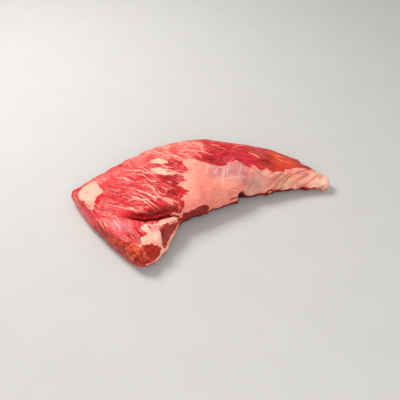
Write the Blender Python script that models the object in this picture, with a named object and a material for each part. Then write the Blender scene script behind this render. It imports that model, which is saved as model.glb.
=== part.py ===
"""A raw beef tri-tip: one boneless roast, lying fat side up on its flat underside.

It is a wedge seen from above. The wide end, at -X, is a straight knife cut, and the roast tapers along +X
to a blunt tail. The back edge, towards +Y, bulges in one long arc. The front edge is hollow, and where the
wide end meets it a lobe of a second muscle sticks out, parted from the main muscle by a deep seam.

The origin is at the middle of the underside's box, +Z is up, and the mesh is made in metres.
"""

import math

import bpy
import numpy as np

MM = 0.001

# Every size below is in millimetres.
#
# Ribs run across the roast from its front edge to its back edge, like the ribs of a boat. Each row holds the
# front end (x, y), the back end (x, y), the thickness, the share of the way across at which it is thickest,
# and how square the front and back shoulders are: 2 is an ellipse, and larger is squarer.
RIBS = (
    ((-106, -99), (-171, 41), 29, 0.42, 2.9, 2.8),
    ((-90, -100), (-155, 50), 32, 0.43, 2.8, 2.6),
    ((-74, -90), (-131, 62), 36, 0.46, 2.7, 2.3),
    ((-61, -74), (-105, 75), 40, 0.48, 2.6, 2.2),
    ((-49, -58), (-83, 82), 44, 0.50, 2.5, 2.1),
    ((-40, -45), (-62, 88), 47, 0.50, 2.5, 2.1),
    ((-16, -39), (-32, 93), 49, 0.50, 2.5, 2.1),
    ((8, -33), (0, 95), 48, 0.50, 2.5, 2.1),
    ((32, -28), (30, 89), 46, 0.48, 2.4, 2.1),
    ((55, -20), (60, 76), 42, 0.47, 2.3, 2.1),
    ((79, -21), (91, 63), 37, 0.44, 2.3, 2.1),
    ((104, -20), (119, 47), 31, 0.42, 2.3, 2.1),
    ((129, -22), (139, 27), 25, 0.42, 2.3, 2.2),
    ((150, -27), (153, 5), 20, 0.44, 2.3, 2.2),
    ((161, -29), (162, -10), 16, 0.50, 2.3, 2.2),
)
TAIL_NOSE = 7.0  # how far the blunt tail rounds out past the last rib
CUT_ROUND = 6.0  # radius of the edge round the knife cut at the wide end
CUT_MIDDLE = 0.35  # the end faces close on a point at this share of the thickness
CUT_BULGE = 2.0  # how far the cut face swells in its middle
CUT_BOW = 5.0  # the knife cut bows out by this much between its corners
CUT_BOW_REACH = 45.0  # and the bow has gone this far along the roast
WAIST_SHARE = 0.32  # the sides stand out furthest at this share of the thickness
UNDER_ROUND = 8.0  # how far the lower edge is rounded inwards
UNDERSIDE_FLAT = 0.6  # the underside is pressed flat up to this height

FINE_STEP = 2.8  # spacing of the rings along the roast, as far as the two muscles lie side by side
FINE_REACH = 88.0
RING_STEP = 4.6  # spacing of the rings beyond that
POINTS_FRONT = 19  # points of one ring over the top, from the front waist to the guide
POINTS_BACK = 34  # and from the guide to the back waist
POINTS_UNDER = 12  # points of one ring underneath
SEAM_CROWDING = 3.0  # a ring's points lie this much closer together at the seam
SEAM_CROWD_WIDTH = 15.0
CUT_RINGS = 5  # rings round the rounded edge of the cut
FACE_RINGS = 6  # rings that fill the cut face
NOSE_RINGS = 4  # rings of the tail's nose

# Paths are drawn in plan, (x, y), and smoothed. A form that follows one is a ridge, a groove or a step.
PATH_STEPS = 12  # straight steps between two points of a path
SEAM = (
    (-122, -30), (-110, -35), (-99, -39), (-86, -45), (-75, -47),
    (-63, -46), (-50, -44), (-38, -42), (-8, -42),
)
# One column of points follows the guide along the whole roast, so that the seam is carved cleanly.
GUIDE = (
    (-155, -14), *SEAM[:7], (-36, -38), (-12, -26), (25, -10), (60, 4), (100, 8), (140, -2), (170, -20),
)
SEAM_DEPTH = 11.5
SEAM_WIDTH = 4.4  # on the main muscle's side
SEAM_SLOPE_WIDTH = 5.8  # on the second muscle's side
SEAM_DEEPENS_OVER = 0.35  # shares of the seam's length: it deepens over the first
SEAM_SHALLOWS_OVER = 0.12  # and runs out over this much
SEAM_GONE_AT = 0.93  # before this one
LIP_HEIGHT = 3.0  # the main muscle swells along its side of the seam
LIP_WIDTH = 10.0
LIP_OVERHANG = 3.0  # and leans over it by this much
FLAP_DROP = 3.0  # the second muscle lies this much lower than the main one
FLAP_DROP_OVER = 4.0  # in a step this wide
FLAP_REACH = 20.0  # and stays so for this distance in front of the seam

FLAP_RIDGE = ((-78, -84), (-74, -71), (-66, -63), (-56, -56), (-44, -51))
FLAP_RIDGE_HEIGHT = 4.0
FLAP_RIDGE_WIDTH = 5.0
FLAP_EDGE = ((-40, -44), (-50, -59), (-61, -77), (-73, -92), (-88, -103))
FLAP_EDGE_REACH = 16.0
FLAP_EDGE_FADE = 0.15  # share of the edge's length over which its forms begin and end
FLAP_FACE_AT = 20.0  # the flap's side is hollow at this height
FLAP_FACE_HOLLOW = 4.4
FLAP_RIM_AT = 8.0  # and a rim of fat stands out below it at this height
FLAP_RIM_SWELL = 1.6

LOBE_CENTRE = (-92, -90)
LOBE_RADIUS = 17.0
LOBE_SWELL = 2.5

CORNER_PAD = ((-160, 14), (-150, 36), (-138, 38), (-128, 22), (-134, 6), (-144, -14), (-150, -8))
CORNER_PAD_RISE = 1.6

FAT_CAP = (
    (-2, 30), (-15, 19), (-29, 13), (-27, 3), (-37, -5), (-31, -14), (-44, -20), (-40, -30), (-47, -42),
    (-34, -54), (0, -48), (48, -36), (102, -32), (160, -36), (170, -18), (152, -13), (116, -4), (94, -4),
    (75, -6), (64, 2), (56, 13), (43, 19), (29, 10), (20, 7), (11, 13), (5, 23),
)
FAT_CAP_RISE = 1.8

HOLLOW_AT = (24, 26)  # a hollow in the bare muscle behind the fat cap
HOLLOW_RADIUS = 26.0
HOLLOW_DEPTH = 2.5
STEP_WIDTH = 5.0  # over which a pad's edge rises

NOTCH_AT = (45, -24)
NOTCH_DEPTH = 6.0
NOTCH_WIDTH = 8.0
TAG_AT = (36, -29)  # a tag of fat beside the notch
TAG_SIZE = 7.0
TAG_SWELL = 3.0

FOLD_PITCH = 13.0  # slanting folds in the fat over the tail
FOLD_HEIGHT = 0.9
FOLD_SLANT = math.radians(27)
FOLDS_FROM = 62.0  # they begin at this x
FOLDS_GROW_OVER = 22.0
HEM_PITCH = 19.0  # the tail's front edge hangs down in uneven bulges
HEM_WANDER = 4.5
HEM_SWELL = 1.2
HEM_AT = 9.0
BUNDLE_PITCH = 17.0  # coarse bundles of muscle on the bare upper face
BUNDLE_HEIGHT = 0.45
BUNDLE_SLANT = math.radians(-38)
BUMP_HEIGHT = 1.2  # slow uneven swells everywhere
BUMP_PITCHES = (26.0, 43.0, 71.0)
ARC_STEPS = 60  # points of one quarter of a rib's outline

MUSCLE_COLOR = (0.62, 0.07, 0.07, 1.0)
MUSCLE_ROUGHNESS = 0.38


def clear_scene():
    """Remove the objects of the startup scene."""
    for thing in list(bpy.data.objects):
        bpy.data.objects.remove(thing, do_unlink=True)


def smooth_path(points, at):
    """Catmull-Rom curve through points, read at the given positions, where position i is point i."""
    points = np.asarray(points, float)
    at = np.clip(np.asarray(at, float), 0, len(points) - 1)
    first = np.minimum(at.astype(int), len(points) - 2)
    padded = np.vstack([2 * points[:1] - points[1:2], points, 2 * points[-1:] - points[-2:-1]])
    before, start, end, after = (padded[first + k] for k in range(4))
    t = (at - first)[:, None]
    return 0.5 * (
        2 * start
        + (end - before) * t
        + (2 * before - 5 * start + 4 * end - after) * t**2
        + (3 * start - before - 3 * end + after) * t**3
    )


def ease(value):
    """A smooth step from 0 to 1 as value goes from 0 to 1."""
    value = np.clip(value, 0, 1)
    return value * value * (3 - 2 * value)


def bell(distance, width):
    """A smooth hump, 1 at distance 0 and near 0 past the width."""
    return np.exp(-((distance / (0.55 * width)) ** 2))


def resample(loop, count, crowding=0.0):
    """The open polyline loop, as count + 1 points along it, crowded together near its start."""
    steps = np.linalg.norm(np.diff(loop, axis=0), axis=1)
    steps = steps * (1 + crowding * bell(np.cumsum(steps), SEAM_CROWD_WIDTH))
    length = np.concatenate([[0], np.cumsum(steps)])
    wanted = np.linspace(0, length[-1], count + 1)
    return np.stack([np.interp(wanted, length, loop[:, k]) for k in range(loop.shape[1])], axis=1)


def section(across, thick, crest, front_square, back_square):
    """One rib's outline as (way across, height), over the top from the front waist, and back underneath."""
    angle = np.linspace(0, math.pi / 2, ARC_STEPS)
    halves = []
    for square in (front_square, back_square):
        halves.append((np.cos(angle) ** (2 / square), np.sin(angle) ** (2 / square)))
    (front_cos, front_sin), (back_cos, back_sin) = halves
    front = np.stack([crest * (1 - front_cos), front_sin], 1)
    back = np.stack([crest + (1 - crest) * back_cos, back_sin], 1)
    top = np.vstack([front, back[::-1][1:]])
    waist = WAIST_SHARE * thick
    top = top * [across, thick - waist] + [0, waist]
    tuck, height = UNDER_ROUND * (1 - np.cos(angle)), waist * (1 - np.sin(angle))
    under = np.vstack([np.stack([across - tuck, height], 1), np.stack([tuck, height], 1)[::-1]])
    return top, under


def split_at_guide(top, plan):
    """The two parts of a rib's upper outline, before and after it crosses the guide."""
    _, side, _ = from_path(plan, GUIDE)
    k = int(np.argmax(side > 0))
    share = side[k - 1] / (side[k - 1] - side[k])
    crossing = top[k - 1] + share * (top[k] - top[k - 1])
    return np.vstack([top[:k], crossing]), np.vstack([crossing, top[k:]])


def ring(position, inset=0.0, scale=1.0, shift=(0.0, 0.0)):
    """One ring of points round the roast at a position along the ribs.

    inset pulls it in all round by that many millimetres, scale shrinks it about its middle, and shift
    moves it in plan.
    """
    table = np.array([[*front, *back, *rest] for front, back, *rest in RIBS], float)
    fx, fy, bx, by, thick, crest, front_square, back_square = smooth_path(table, [position])[0]
    front, back = np.array([fx, fy]), np.array([bx, by])
    across = np.linalg.norm(back - front)
    depth = np.interp(position, range(len(RIBS)), rib_lengths())
    top, under = section(across, thick, crest, front_square, back_square)
    crowding = (SEAM_CROWDING - 1) * ease(1.5 - depth / (2 * FINE_REACH))
    before, after = split_at_guide(top, front + (back - front) * top[:, :1] / across)
    before = resample(before[::-1], POINTS_FRONT, crowding)[::-1]
    after = resample(after, POINTS_BACK, crowding)
    loop = np.vstack([before[:-1], after[:-1], resample(under, POINTS_UNDER)[:-1]])
    half = np.array([across, thick]) / 2
    middle = half * [1, 2 * CUT_MIDDLE]
    loop = middle + (loop - middle) * (1 - inset / half) * scale
    share = loop[:, :1] / across
    fade = ease(1 - depth / CUT_BOW_REACH)
    bow = CUT_BOW * fade * 4 * share * (1 - share)
    plan = front + (back - front) * share + cut_normal() * bow + np.array(shift)
    return np.column_stack([plan, loop[:, 1]])


def rib_lengths():
    """Distance along the middle of the roast from the first rib to each rib."""
    middles = np.array([(np.array(front) + np.array(back)) / 2 for front, back, *_ in RIBS], float)
    return np.concatenate([[0], np.cumsum(np.linalg.norm(np.diff(middles, axis=0), axis=1))])


def build_rings():
    """All rings from the middle of the cut face to the tip of the tail, and the two end points."""
    lengths = rib_lengths()
    outward = cut_normal()
    rings = []
    edge_inset = CUT_ROUND
    for k in range(1, FACE_RINGS + 1):
        share = k / FACE_RINGS
        swell = CUT_BULGE * (1 - share**2)
        rings.append(ring(0, edge_inset, share, outward * swell))
    for k in range(1, CUT_RINGS + 1):
        turn = math.pi / 2 * k / CUT_RINGS
        depth = CUT_ROUND * (1 - math.cos(turn))
        inset = CUT_ROUND * (1 - math.sin(turn))
        rings.append(ring(np.interp(depth, lengths, range(len(lengths))), inset))
    fine = np.arange(CUT_ROUND + FINE_STEP, FINE_REACH, FINE_STEP)
    coarse = np.linspace(fine[-1], lengths[-1], int((lengths[-1] - fine[-1]) / RING_STEP) + 1)[1:]
    for depth in (*fine, *coarse):
        rings.append(ring(np.interp(depth, lengths, range(len(lengths)))))
    last = len(RIBS) - 1
    for k in range(1, NOSE_RINGS):
        turn = math.pi / 2 * k / NOSE_RINGS
        rings.append(ring(last, 0.0, math.cos(turn), (TAIL_NOSE * math.sin(turn), 0.0)))
    start = ring(0, edge_inset, 0.0, outward * CUT_BULGE)[0]
    end = ring(last, 0.0, 0.0, (TAIL_NOSE, 0.0))[0]
    return np.array(rings), start, end


def cut_normal():
    """Unit vector in plan that points out of the knife cut."""
    front, back = (np.array(point, float) for point in RIBS[0][:2])
    along = (back - front) / np.linalg.norm(back - front)
    return np.array([-along[1], along[0]])


def faces_between(ring_count, around):
    """Faces of the closed surface. The two end points come after the rings' points."""
    faces = []
    for i in range(ring_count - 1):
        for j in range(around):
            k = (j + 1) % around
            faces.append((i * around + j, (i + 1) * around + j, (i + 1) * around + k, i * around + k))
    start, end = ring_count * around, ring_count * around + 1
    last = (ring_count - 1) * around
    for j in range(around):
        k = (j + 1) % around
        faces.append((start, j, k))
        faces.append((end, last + k, last + j))
    return faces


def normals_of(points, faces):
    """Unit normal at each point, from the areas of the faces round it."""
    total = np.zeros_like(points)
    corners = np.array([(face[0], face[1], face[2]) for face in faces])
    others = np.array([(face[0], face[2], face[3]) for face in faces if len(face) == 4])
    for triangles in (corners, others):
        a, b, c = (points[triangles[:, k]] for k in range(3))
        normal = np.cross(b - a, c - a)
        for k in range(3):
            np.add.at(total, triangles[:, k], normal)
    return total / np.maximum(np.linalg.norm(total, axis=1, keepdims=True), 1e-9)


def path_curve(path):
    """A path as a fine, smooth polyline."""
    return smooth_path(path, np.linspace(0, len(path) - 1, PATH_STEPS * (len(path) - 1) + 1))


def from_path(plan, path):
    """(distance, side, share) of each plan point from a smoothed path.

    side is the distance with a sign, positive to the left of the path's direction, and share is how far
    along the path the nearest place is, from 0 to 1.
    """
    curve = path_curve(path)
    start, step = curve[:-1], np.diff(curve, axis=0)
    offset = plan[:, None, :] - start[None]
    along = np.clip((offset * step).sum(2) / (step * step).sum(1), 0, 1)
    gap = offset - along[..., None] * step
    distance = np.linalg.norm(gap, axis=2)
    nearest = distance.argmin(1)
    rows = np.arange(len(plan))
    near_step, near_gap = step[nearest], gap[rows, nearest]
    cross = near_step[:, 0] * near_gap[:, 1] - near_step[:, 1] * near_gap[:, 0]
    share = (nearest + along[rows, nearest]) / len(step)
    return distance[rows, nearest], np.sign(cross) * distance[rows, nearest], share


def inside_pad(plan, outline):
    """Distance of each plan point inside a smoothed closed outline, negative outside it."""
    closed = (*outline, outline[0])
    distance, _, _ = from_path(plan, closed)
    curve = path_curve(closed)[:-1]
    ahead = np.roll(curve, -1, axis=0)
    x, y = plan[:, :1], plan[:, 1:]
    crosses = (curve[:, 1] > y) != (ahead[:, 1] > y)
    rise = np.where(ahead[:, 1] == curve[:, 1], 1e-9, ahead[:, 1] - curve[:, 1])
    hits = crosses & (x < curve[:, 0] + (y - curve[:, 1]) * (ahead[:, 0] - curve[:, 0]) / rise)
    return np.where(hits.sum(1) % 2 == 1, distance, -distance)


def seam_and_flap(points, topside):
    """Move of each point for the seam, the lip that leans over it and the lower muscle in front of it."""
    distance, side, share = from_path(points[:, :2], SEAM)
    ends = ease(share / SEAM_DEEPENS_OVER) * ease((SEAM_GONE_AT - share) / SEAM_SHALLOWS_OVER) * topside
    groove = SEAM_DEPTH * bell(distance, np.where(side > 0, SEAM_WIDTH, SEAM_SLOPE_WIDTH))
    lip = LIP_HEIGHT * bell(side - LIP_WIDTH, LIP_WIDTH)
    drop = FLAP_DROP * ease(-side / FLAP_DROP_OVER) * ease((FLAP_REACH * 2 + side) / FLAP_REACH)
    lean = LIP_OVERHANG * ease(2 * side / SEAM_WIDTH) * bell(side - 0.4 * LIP_WIDTH, LIP_WIDTH)
    return np.column_stack([0 * side, -lean, lip - groove - drop]) * ends[:, None]


def flap_side(points):
    """Swell of the flap's free side: a hollow face over a rim of fat."""
    distance, _, share = from_path(points[:, :2], FLAP_EDGE)
    near = ease((FLAP_EDGE_REACH - distance) / FLAP_EDGE_REACH * 2)
    near *= ease(share / FLAP_EDGE_FADE) * ease((1 - share) / FLAP_EDGE_FADE)
    face = bell(points[:, 2] - FLAP_FACE_AT, FLAP_FACE_AT - FLAP_RIM_AT)
    rim = bell(points[:, 2] - FLAP_RIM_AT, FLAP_RIM_AT)
    return (FLAP_RIM_SWELL * rim - FLAP_FACE_HOLLOW * face) * near


def slanted_waves(plan, slant, pitch, phase=0.0):
    """Rounded parallel ridges in plan that run along the slant, from -1 to 1."""
    across = -plan[:, 0] * math.sin(slant) + plan[:, 1] * math.cos(slant)
    along = plan[:, 0] * math.cos(slant) + plan[:, 1] * math.sin(slant)
    wander = 0.16 * pitch * np.sin(along / (1.9 * pitch) + phase) + 0.1 * pitch * np.sin(along / (0.8 * pitch))
    return np.sin(2 * math.pi * (across + wander) / pitch + phase)


def uneven(points):
    """Slow swells over the whole roast, from about -1 to 1."""
    total = np.zeros(len(points))
    for k, pitch in enumerate(BUMP_PITCHES):
        turn = 0.5 + 2.3 * k
        across = points[:, 0] * math.cos(turn) + points[:, 1] * math.sin(turn)
        over = points[:, 2] - points[:, 0] * math.sin(turn) + points[:, 1] * math.cos(turn)
        bend = 0.12 * pitch * np.sin(over / (0.31 * pitch) + k)
        rows = np.sin((across + bend) * 2 * math.pi / pitch + k)
        total += rows * np.cos(over * 2 * math.pi / pitch + 2 * k)
    return total / len(BUMP_PITCHES)


def shape_forms(points, faces):
    """Move the smooth body's points to carve the seam and raise the lobe, fat pads, folds and bundles."""
    normals = normals_of(points, faces)
    plan = points[:, :2]
    topside = ease((normals[:, 2] - 0.05) / 0.45)
    distance, _, share = from_path(plan, FLAP_RIDGE)
    swell = FLAP_RIDGE_HEIGHT * bell(distance, FLAP_RIDGE_WIDTH) * ease((share + 0.1) / 0.3) * topside
    swell += flap_side(points)
    corner = inside_pad(plan, CORNER_PAD)
    swell += CORNER_PAD_RISE * ease(corner / STEP_WIDTH + 0.5) * topside
    cap = ease(inside_pad(plan, FAT_CAP) / STEP_WIDTH + 0.5)
    swell += FAT_CAP_RISE * cap * topside
    swell -= HOLLOW_DEPTH * bell(np.linalg.norm(plan - HOLLOW_AT, axis=1), HOLLOW_RADIUS) * topside
    swell += LOBE_SWELL * bell(np.linalg.norm(plan - LOBE_CENTRE, axis=1), LOBE_RADIUS)

    tail = ease((plan[:, 0] - FOLDS_FROM) / FOLDS_GROW_OVER) * cap
    patchy = 0.6 + 0.6 * uneven(points[:, [1, 0, 2]])
    folds = slanted_waves(plan, FOLD_SLANT, FOLD_PITCH) * patchy
    folds += 0.4 * slanted_waves(plan, FOLD_SLANT * 1.4, FOLD_PITCH * 0.6, 2.0)
    swell += FOLD_HEIGHT * folds * tail * topside
    bare = (1 - cap) * (1 - ease(corner / STEP_WIDTH + 0.5)) * topside
    swell += BUNDLE_HEIGHT * slanted_waves(plan, BUNDLE_SLANT, BUNDLE_PITCH, 1.0) * bare * patchy

    # The steep sides, without the top and the underside.
    low_front = ease((0.55 - normals[:, 2]) / 0.4) * ease((normals[:, 2] + 0.8) / 0.3)
    along = plan[:, 0] + HEM_WANDER * np.sin(plan[:, 0] / HEM_PITCH * 3.7)
    hem = np.sin(2 * math.pi * along / HEM_PITCH) * bell(points[:, 2] - HEM_AT, 2 * HEM_AT)
    in_front = ease(-normals[:, 1] / 0.4)
    swell += HEM_SWELL * hem * tail * low_front * in_front
    swell -= NOTCH_DEPTH * bell(np.linalg.norm(plan - NOTCH_AT, axis=1), NOTCH_WIDTH) * low_front
    swell += TAG_SWELL * bell(np.linalg.norm(plan - TAG_AT, axis=1), TAG_SIZE) * low_front
    swell += BUMP_HEIGHT * uneven(points) * ease((normals[:, 2] + 0.9) / 0.5)
    shaped = points + seam_and_flap(points, topside) + normals * swell[:, None]
    shaped[:, 2] = np.where(shaped[:, 2] < UNDERSIDE_FLAT, 0.0, shaped[:, 2])
    return shaped


def centred(points):
    """The points with the middle of their box over the origin and the underside at z = 0."""
    low, high = points.min(0), points.max(0)
    return points - [(low[0] + high[0]) / 2, (low[1] + high[1]) / 2, low[2]]


def muscle_material():
    """Deep red, moist raw muscle."""
    material = bpy.data.materials.new("raw_beef")
    material.use_nodes = True
    shader = material.node_tree.nodes["Principled BSDF"]
    shader.inputs["Base Color"].default_value = MUSCLE_COLOR
    shader.inputs["Roughness"].default_value = MUSCLE_ROUGHNESS
    shader.inputs["Metallic"].default_value = 0.0
    material.diffuse_color = MUSCLE_COLOR
    return material


def build_tri_tip():
    """The whole roast as one closed mesh object."""
    rings, start, end = build_rings()
    ring_count, around, _ = rings.shape
    points = np.vstack([rings.reshape(-1, 3), start, end])
    faces = faces_between(ring_count, around)
    points = centred(shape_forms(points, faces))
    mesh = bpy.data.meshes.new("beef_tri_tip")
    mesh.from_pydata((points * MM).tolist(), [], faces)
    mesh.validate()
    mesh.shade_smooth()
    mesh.materials.append(muscle_material())
    roast = bpy.data.objects.new("beef_tri_tip", mesh)
    bpy.context.scene.collection.objects.link(roast)
    return roast


clear_scene()
build_tri_tip()
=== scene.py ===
"""Looks of a raw beef tri-tip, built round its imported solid.

The solid is one closed form with the roast's main shapes. Here a finer copy of it stands in its place and
gets what a knife, a butcher's pull and the meat itself leave on the surface: the grain of the muscle,
marbling, a torn edge of the fat cap, silverskin, wrinkles and knife-cut faces.

Sizes are in millimetres in the roast's own frame, and are turned to metres where a mesh is made.
"""

import logging
import math
from dataclasses import dataclass, field
from enum import Enum

import bmesh
import bpy
import numpy as np
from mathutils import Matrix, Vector, kdtree, noise


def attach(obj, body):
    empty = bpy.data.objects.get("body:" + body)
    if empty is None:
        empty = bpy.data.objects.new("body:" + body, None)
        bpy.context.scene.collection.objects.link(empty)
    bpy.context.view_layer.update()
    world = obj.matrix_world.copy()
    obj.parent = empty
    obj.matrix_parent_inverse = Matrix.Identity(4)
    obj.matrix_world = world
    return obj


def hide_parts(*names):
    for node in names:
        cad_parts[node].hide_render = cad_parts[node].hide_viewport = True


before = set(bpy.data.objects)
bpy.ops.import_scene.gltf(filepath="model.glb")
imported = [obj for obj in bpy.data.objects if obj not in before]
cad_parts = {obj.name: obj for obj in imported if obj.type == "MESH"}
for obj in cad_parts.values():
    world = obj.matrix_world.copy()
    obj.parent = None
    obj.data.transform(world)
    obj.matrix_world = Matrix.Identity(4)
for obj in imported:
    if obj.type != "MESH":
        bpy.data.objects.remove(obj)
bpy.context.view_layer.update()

MM = 0.001
NODE = "beef_tri_tip"
BODY = "root"
PIECE = "tri_tip_meat"

DEEPEST = 9.0  # distances inside a tissue are carried up to this
SEED_SHIFT = 31.7  # how far apart two seeds read the noise
SOFT_FADE = 1.2  # how fast a soft area fades towards its radius
TURN_LOSS = 14.0  # what a patch in plan loses as the surface turns from flat to upright
TURNING = (0.25, -0.1)  # a trail in plan fades as the normal's height falls from one to the other
FADED = 1.6  # a trail in space fades from its reach to this many times as far
UNMARKED = 8.0  # added to the distance of points that a trail comes near but doesn't mark
TIP = 0.3  # width of a trail's ends, as a share of its middle's
BASE_WEIGHT = 0.12  # how much a base tone counts against the middle of a wash
# The kind of attribute and the name of its data, by how many numbers a value has.
ATTRIBUTES = {1: ("FLOAT", "value"), 3: ("FLOAT_VECTOR", "vector"), 4: ("FLOAT_COLOR", "color")}

Array = np.ndarray
Rgba = tuple[float, float, float, float]
Point = tuple[float, ...]
Outline = tuple[Point, ...]
Span = tuple[float, float]  # where something starts and where it is full
Layer = tuple[float, float, int]  # of noise: how far apart its lumps are, how high they are, and its seed
Layers = tuple[Layer, ...]
Socket = bpy.types.NodeSocket

log = logging.getLogger("tri_tip")


def linear(hex_code: str) -> Rgba:
    """Turn an sRGB hex colour to linear light, by the curve of the sRGB standard.

    Args:
        hex_code: Colour as #rrggbb.

    Returns:
        Linear red, green, blue and an alpha of 1.
    """
    shares = [int(hex_code[k : k + 2], 16) / 255 for k in (1, 3, 5)]
    light = [s / 12.92 if s <= 0.04045 else ((s + 0.055) / 1.055) ** 2.4 for s in shares]
    return (*light, 1.0)


def add_node(
    tree: bpy.types.NodeTree, kind: str, inputs: dict | None = None, **settings: object
) -> bpy.types.Node:
    """Add one shader node with its settings, values and links.

    Args:
        tree: Node tree to add to.
        kind: Node type without the ShaderNode prefix.
        inputs: Socket name or number, to a value or to an output socket that feeds it.
        settings: The node's own properties.

    Returns:
        The new node.
    """
    made = tree.nodes.new("ShaderNode" + kind)
    for name, value in settings.items():
        setattr(made, name, value)
    for socket, value in (inputs or {}).items():
        if isinstance(value, Socket):
            tree.links.new(value, made.inputs[socket])
        else:
            made.inputs[socket].default_value = value
    return made


def ease(start: float, end: float, value: Array) -> Array:
    """Step smoothly from 0 at the start to 1 at the end, which may be lower than the start."""
    share = np.clip((value - start) / (end - start), 0, 1)
    return share * share * (3 - 2 * share)


def near(points: Array, centre: Point, radius: float | Point) -> Array:
    """Fade softly from 1 at a centre to 0.3 at the radius and to 0 beyond it."""
    return np.exp(-SOFT_FADE * (((points - np.array(centre, float)) / radius) ** 2).sum(1))


def lumps(points: Array, *layers: Layer) -> Array:
    """Read smooth noise at points.

    Args:
        points: Places in millimetres.
        layers: Size, height and seed of each layer of lumps.

    Returns:
        The sum of the layers at each point, where each goes from about minus to plus its height.
    """
    total = np.zeros(len(points))
    for size, height, seed in layers:
        places = points / size + SEED_SHIFT * seed
        total += height * np.array([noise.noise(place) for place in places.tolist()])
    return total


def turned(points: Array, slant: float | Array) -> tuple[Array, Array]:
    """Give the way of points along and across a direction in plan, which is an angle in radians."""
    cos, sin = np.cos(slant), np.sin(slant)
    return points[:, 0] * cos + points[:, 1] * sin, points[:, 1] * cos - points[:, 0] * sin


def smooth_path(points: Array, per_span: int = 6, closed: bool = False) -> Array:
    """Draw a smooth curve through points.

    Args:
        points: The points, of two or three numbers.
        per_span: How many steps the curve takes between two points.
        closed: Whether the curve ends where it starts.

    Returns:
        The curve as a fine polyline.
    """
    if closed:
        ring = np.vstack([points[-1:], points, points[:2]])
    else:
        ring = np.vstack([2 * points[:1] - points[1:2], points, 2 * points[-1:] - points[-2:-1]])
    curve = []
    for before, start, end, after in zip(ring, ring[1:], ring[2:], ring[3:]):
        for t in np.arange(per_span) / per_span:
            curve.append(
                start
                + 0.5 * t * (end - before)
                + 0.5 * t**2 * (2 * before - 5 * start + 4 * end - after)
                + 0.5 * t**3 * (3 * start - before - 3 * end + after)
            )
    curve.append(ring[-2])
    return np.array(curve)


def from_curve(points: Array, curve: Array) -> tuple[Array, Array, Array]:
    """Measure points against a polyline.

    Args:
        points: Places, of as many numbers as the curve's.
        curve: The polyline.

    Returns:
        Each point's distance from the curve, the gap from the curve to it as a vector, and the share of the
        curve's length at the nearest place.
    """
    lengths = np.concatenate([[0], np.cumsum(np.linalg.norm(np.diff(curve, axis=0), axis=1))])
    best = np.full(len(points), np.inf)
    gaps = np.zeros_like(points)
    shares = np.zeros(len(points))
    for k, (start, end) in enumerate(zip(curve, curve[1:])):
        step = end - start
        along = np.clip((points - start) @ step / max(step @ step, 1e-9), 0, 1)
        gap = points - start - along[:, None] * step
        distance = np.sqrt((gap * gap).sum(1))
        nearer = distance < best
        best[nearer] = distance[nearer]
        gaps[nearer] = gap[nearer]
        shares[nearer] = (lengths[k] + along[nearer] * (lengths[k + 1] - lengths[k])) / lengths[-1]
    return best, gaps, shares


def inside_curve(points: Array, curve: Array) -> Array:
    """Tell how far plane points lie inside a closed polyline.

    Args:
        points: Places in the plane.
        curve: The polyline.

    Returns:
        The distance from the polyline, negative outside it.
    """
    distance, _, _ = from_curve(points, curve)
    odd = np.zeros(len(points), bool)
    for start, end in zip(curve, curve[1:]):
        if start[1] == end[1]:
            continue
        spans = (start[1] > points[:, 1]) != (end[1] > points[:, 1])
        crossing = start[0] + (points[:, 1] - start[1]) * (end[0] - start[0]) / (end[1] - start[1])
        odd ^= spans & (points[:, 0] < crossing)
    return np.where(odd, distance, -distance)


class Carried(str, Enum):
    """What the mesh carries at each point for its material. Distances are in millimetres."""

    GRAIN = "grain"  # place along, across and above the grain of the muscle
    LEAN_TONE = "lean_tone"
    FAT_TONE = "fat_tone"
    FAT_IN = "fat_in"  # distance inside the fat, negative on the lean
    FILM_IN = "film_in"  # distance inside the silverskin
    CUT_IN = "cut_in"  # distance inside a knife-cut face
    MARBLED = "marbled"  # how rich in fine marbling the lean is, from 0 to 1
    STREAK = "streak"  # about 1 on the middle of a streak of fat, 0.78 at its edge, 0 away from it
    CREASE = "crease"  # how deep in a crease, from 0 to 1, and to 2 where hardly any light gets in; it sinks the surface, and the material paints shade by it


class Run(Enum):
    """How a noise pattern lies on the meat."""

    GRAIN = "drawn out along the grain"
    SHORT = "drawn out less"
    EVEN = "the same in all directions"


class Ramp(Enum):
    """How a share goes from none to full."""

    EVEN = "LINEAR"
    SOFT = "SMOOTHSTEP"


class Lies(Enum):
    """How a tint lies on the colour under it."""

    OVER = "MIX"
    DARKENS = "MULTIPLY"


class Pattern(Enum):
    """Noise patterns of the surface: width of what one draws in millimetres, its detail, and how it lies."""

    FIBRE = (1.3, 3.0, Run.GRAIN)  # a bundle of fibres, drawn coarser than the real 0.2 mm
    BUNDLE = (4.5, 2.0, Run.GRAIN)
    FLECK = (2.6, 2.0, Run.GRAIN)  # the finest marbling
    TORN = (3.4, 2.0, Run.GRAIN)
    VEIN = (5.5, 2.0, Run.SHORT)  # from one streak of marbling to the next
    BREAK = (9.0, 1.0, Run.GRAIN)
    MOTTLE = (12.0, 3.0, Run.EVEN)
    AREA = (26.0, 1.0, Run.EVEN)
    GRIT = (1.1, 3.0, Run.EVEN)
    LUMP = (4.5, 3.0, Run.EVEN)
    CELL = (2.4, 2.0, Run.EVEN)  # a muscle bundle seen end on at a cut


class Tissue(Enum):
    """What a patch shows."""

    FAT = "fat"
    FILM = "silverskin"
    CUT = "cut across the fibres"
    FACE = "cut along the fibres"


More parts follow.
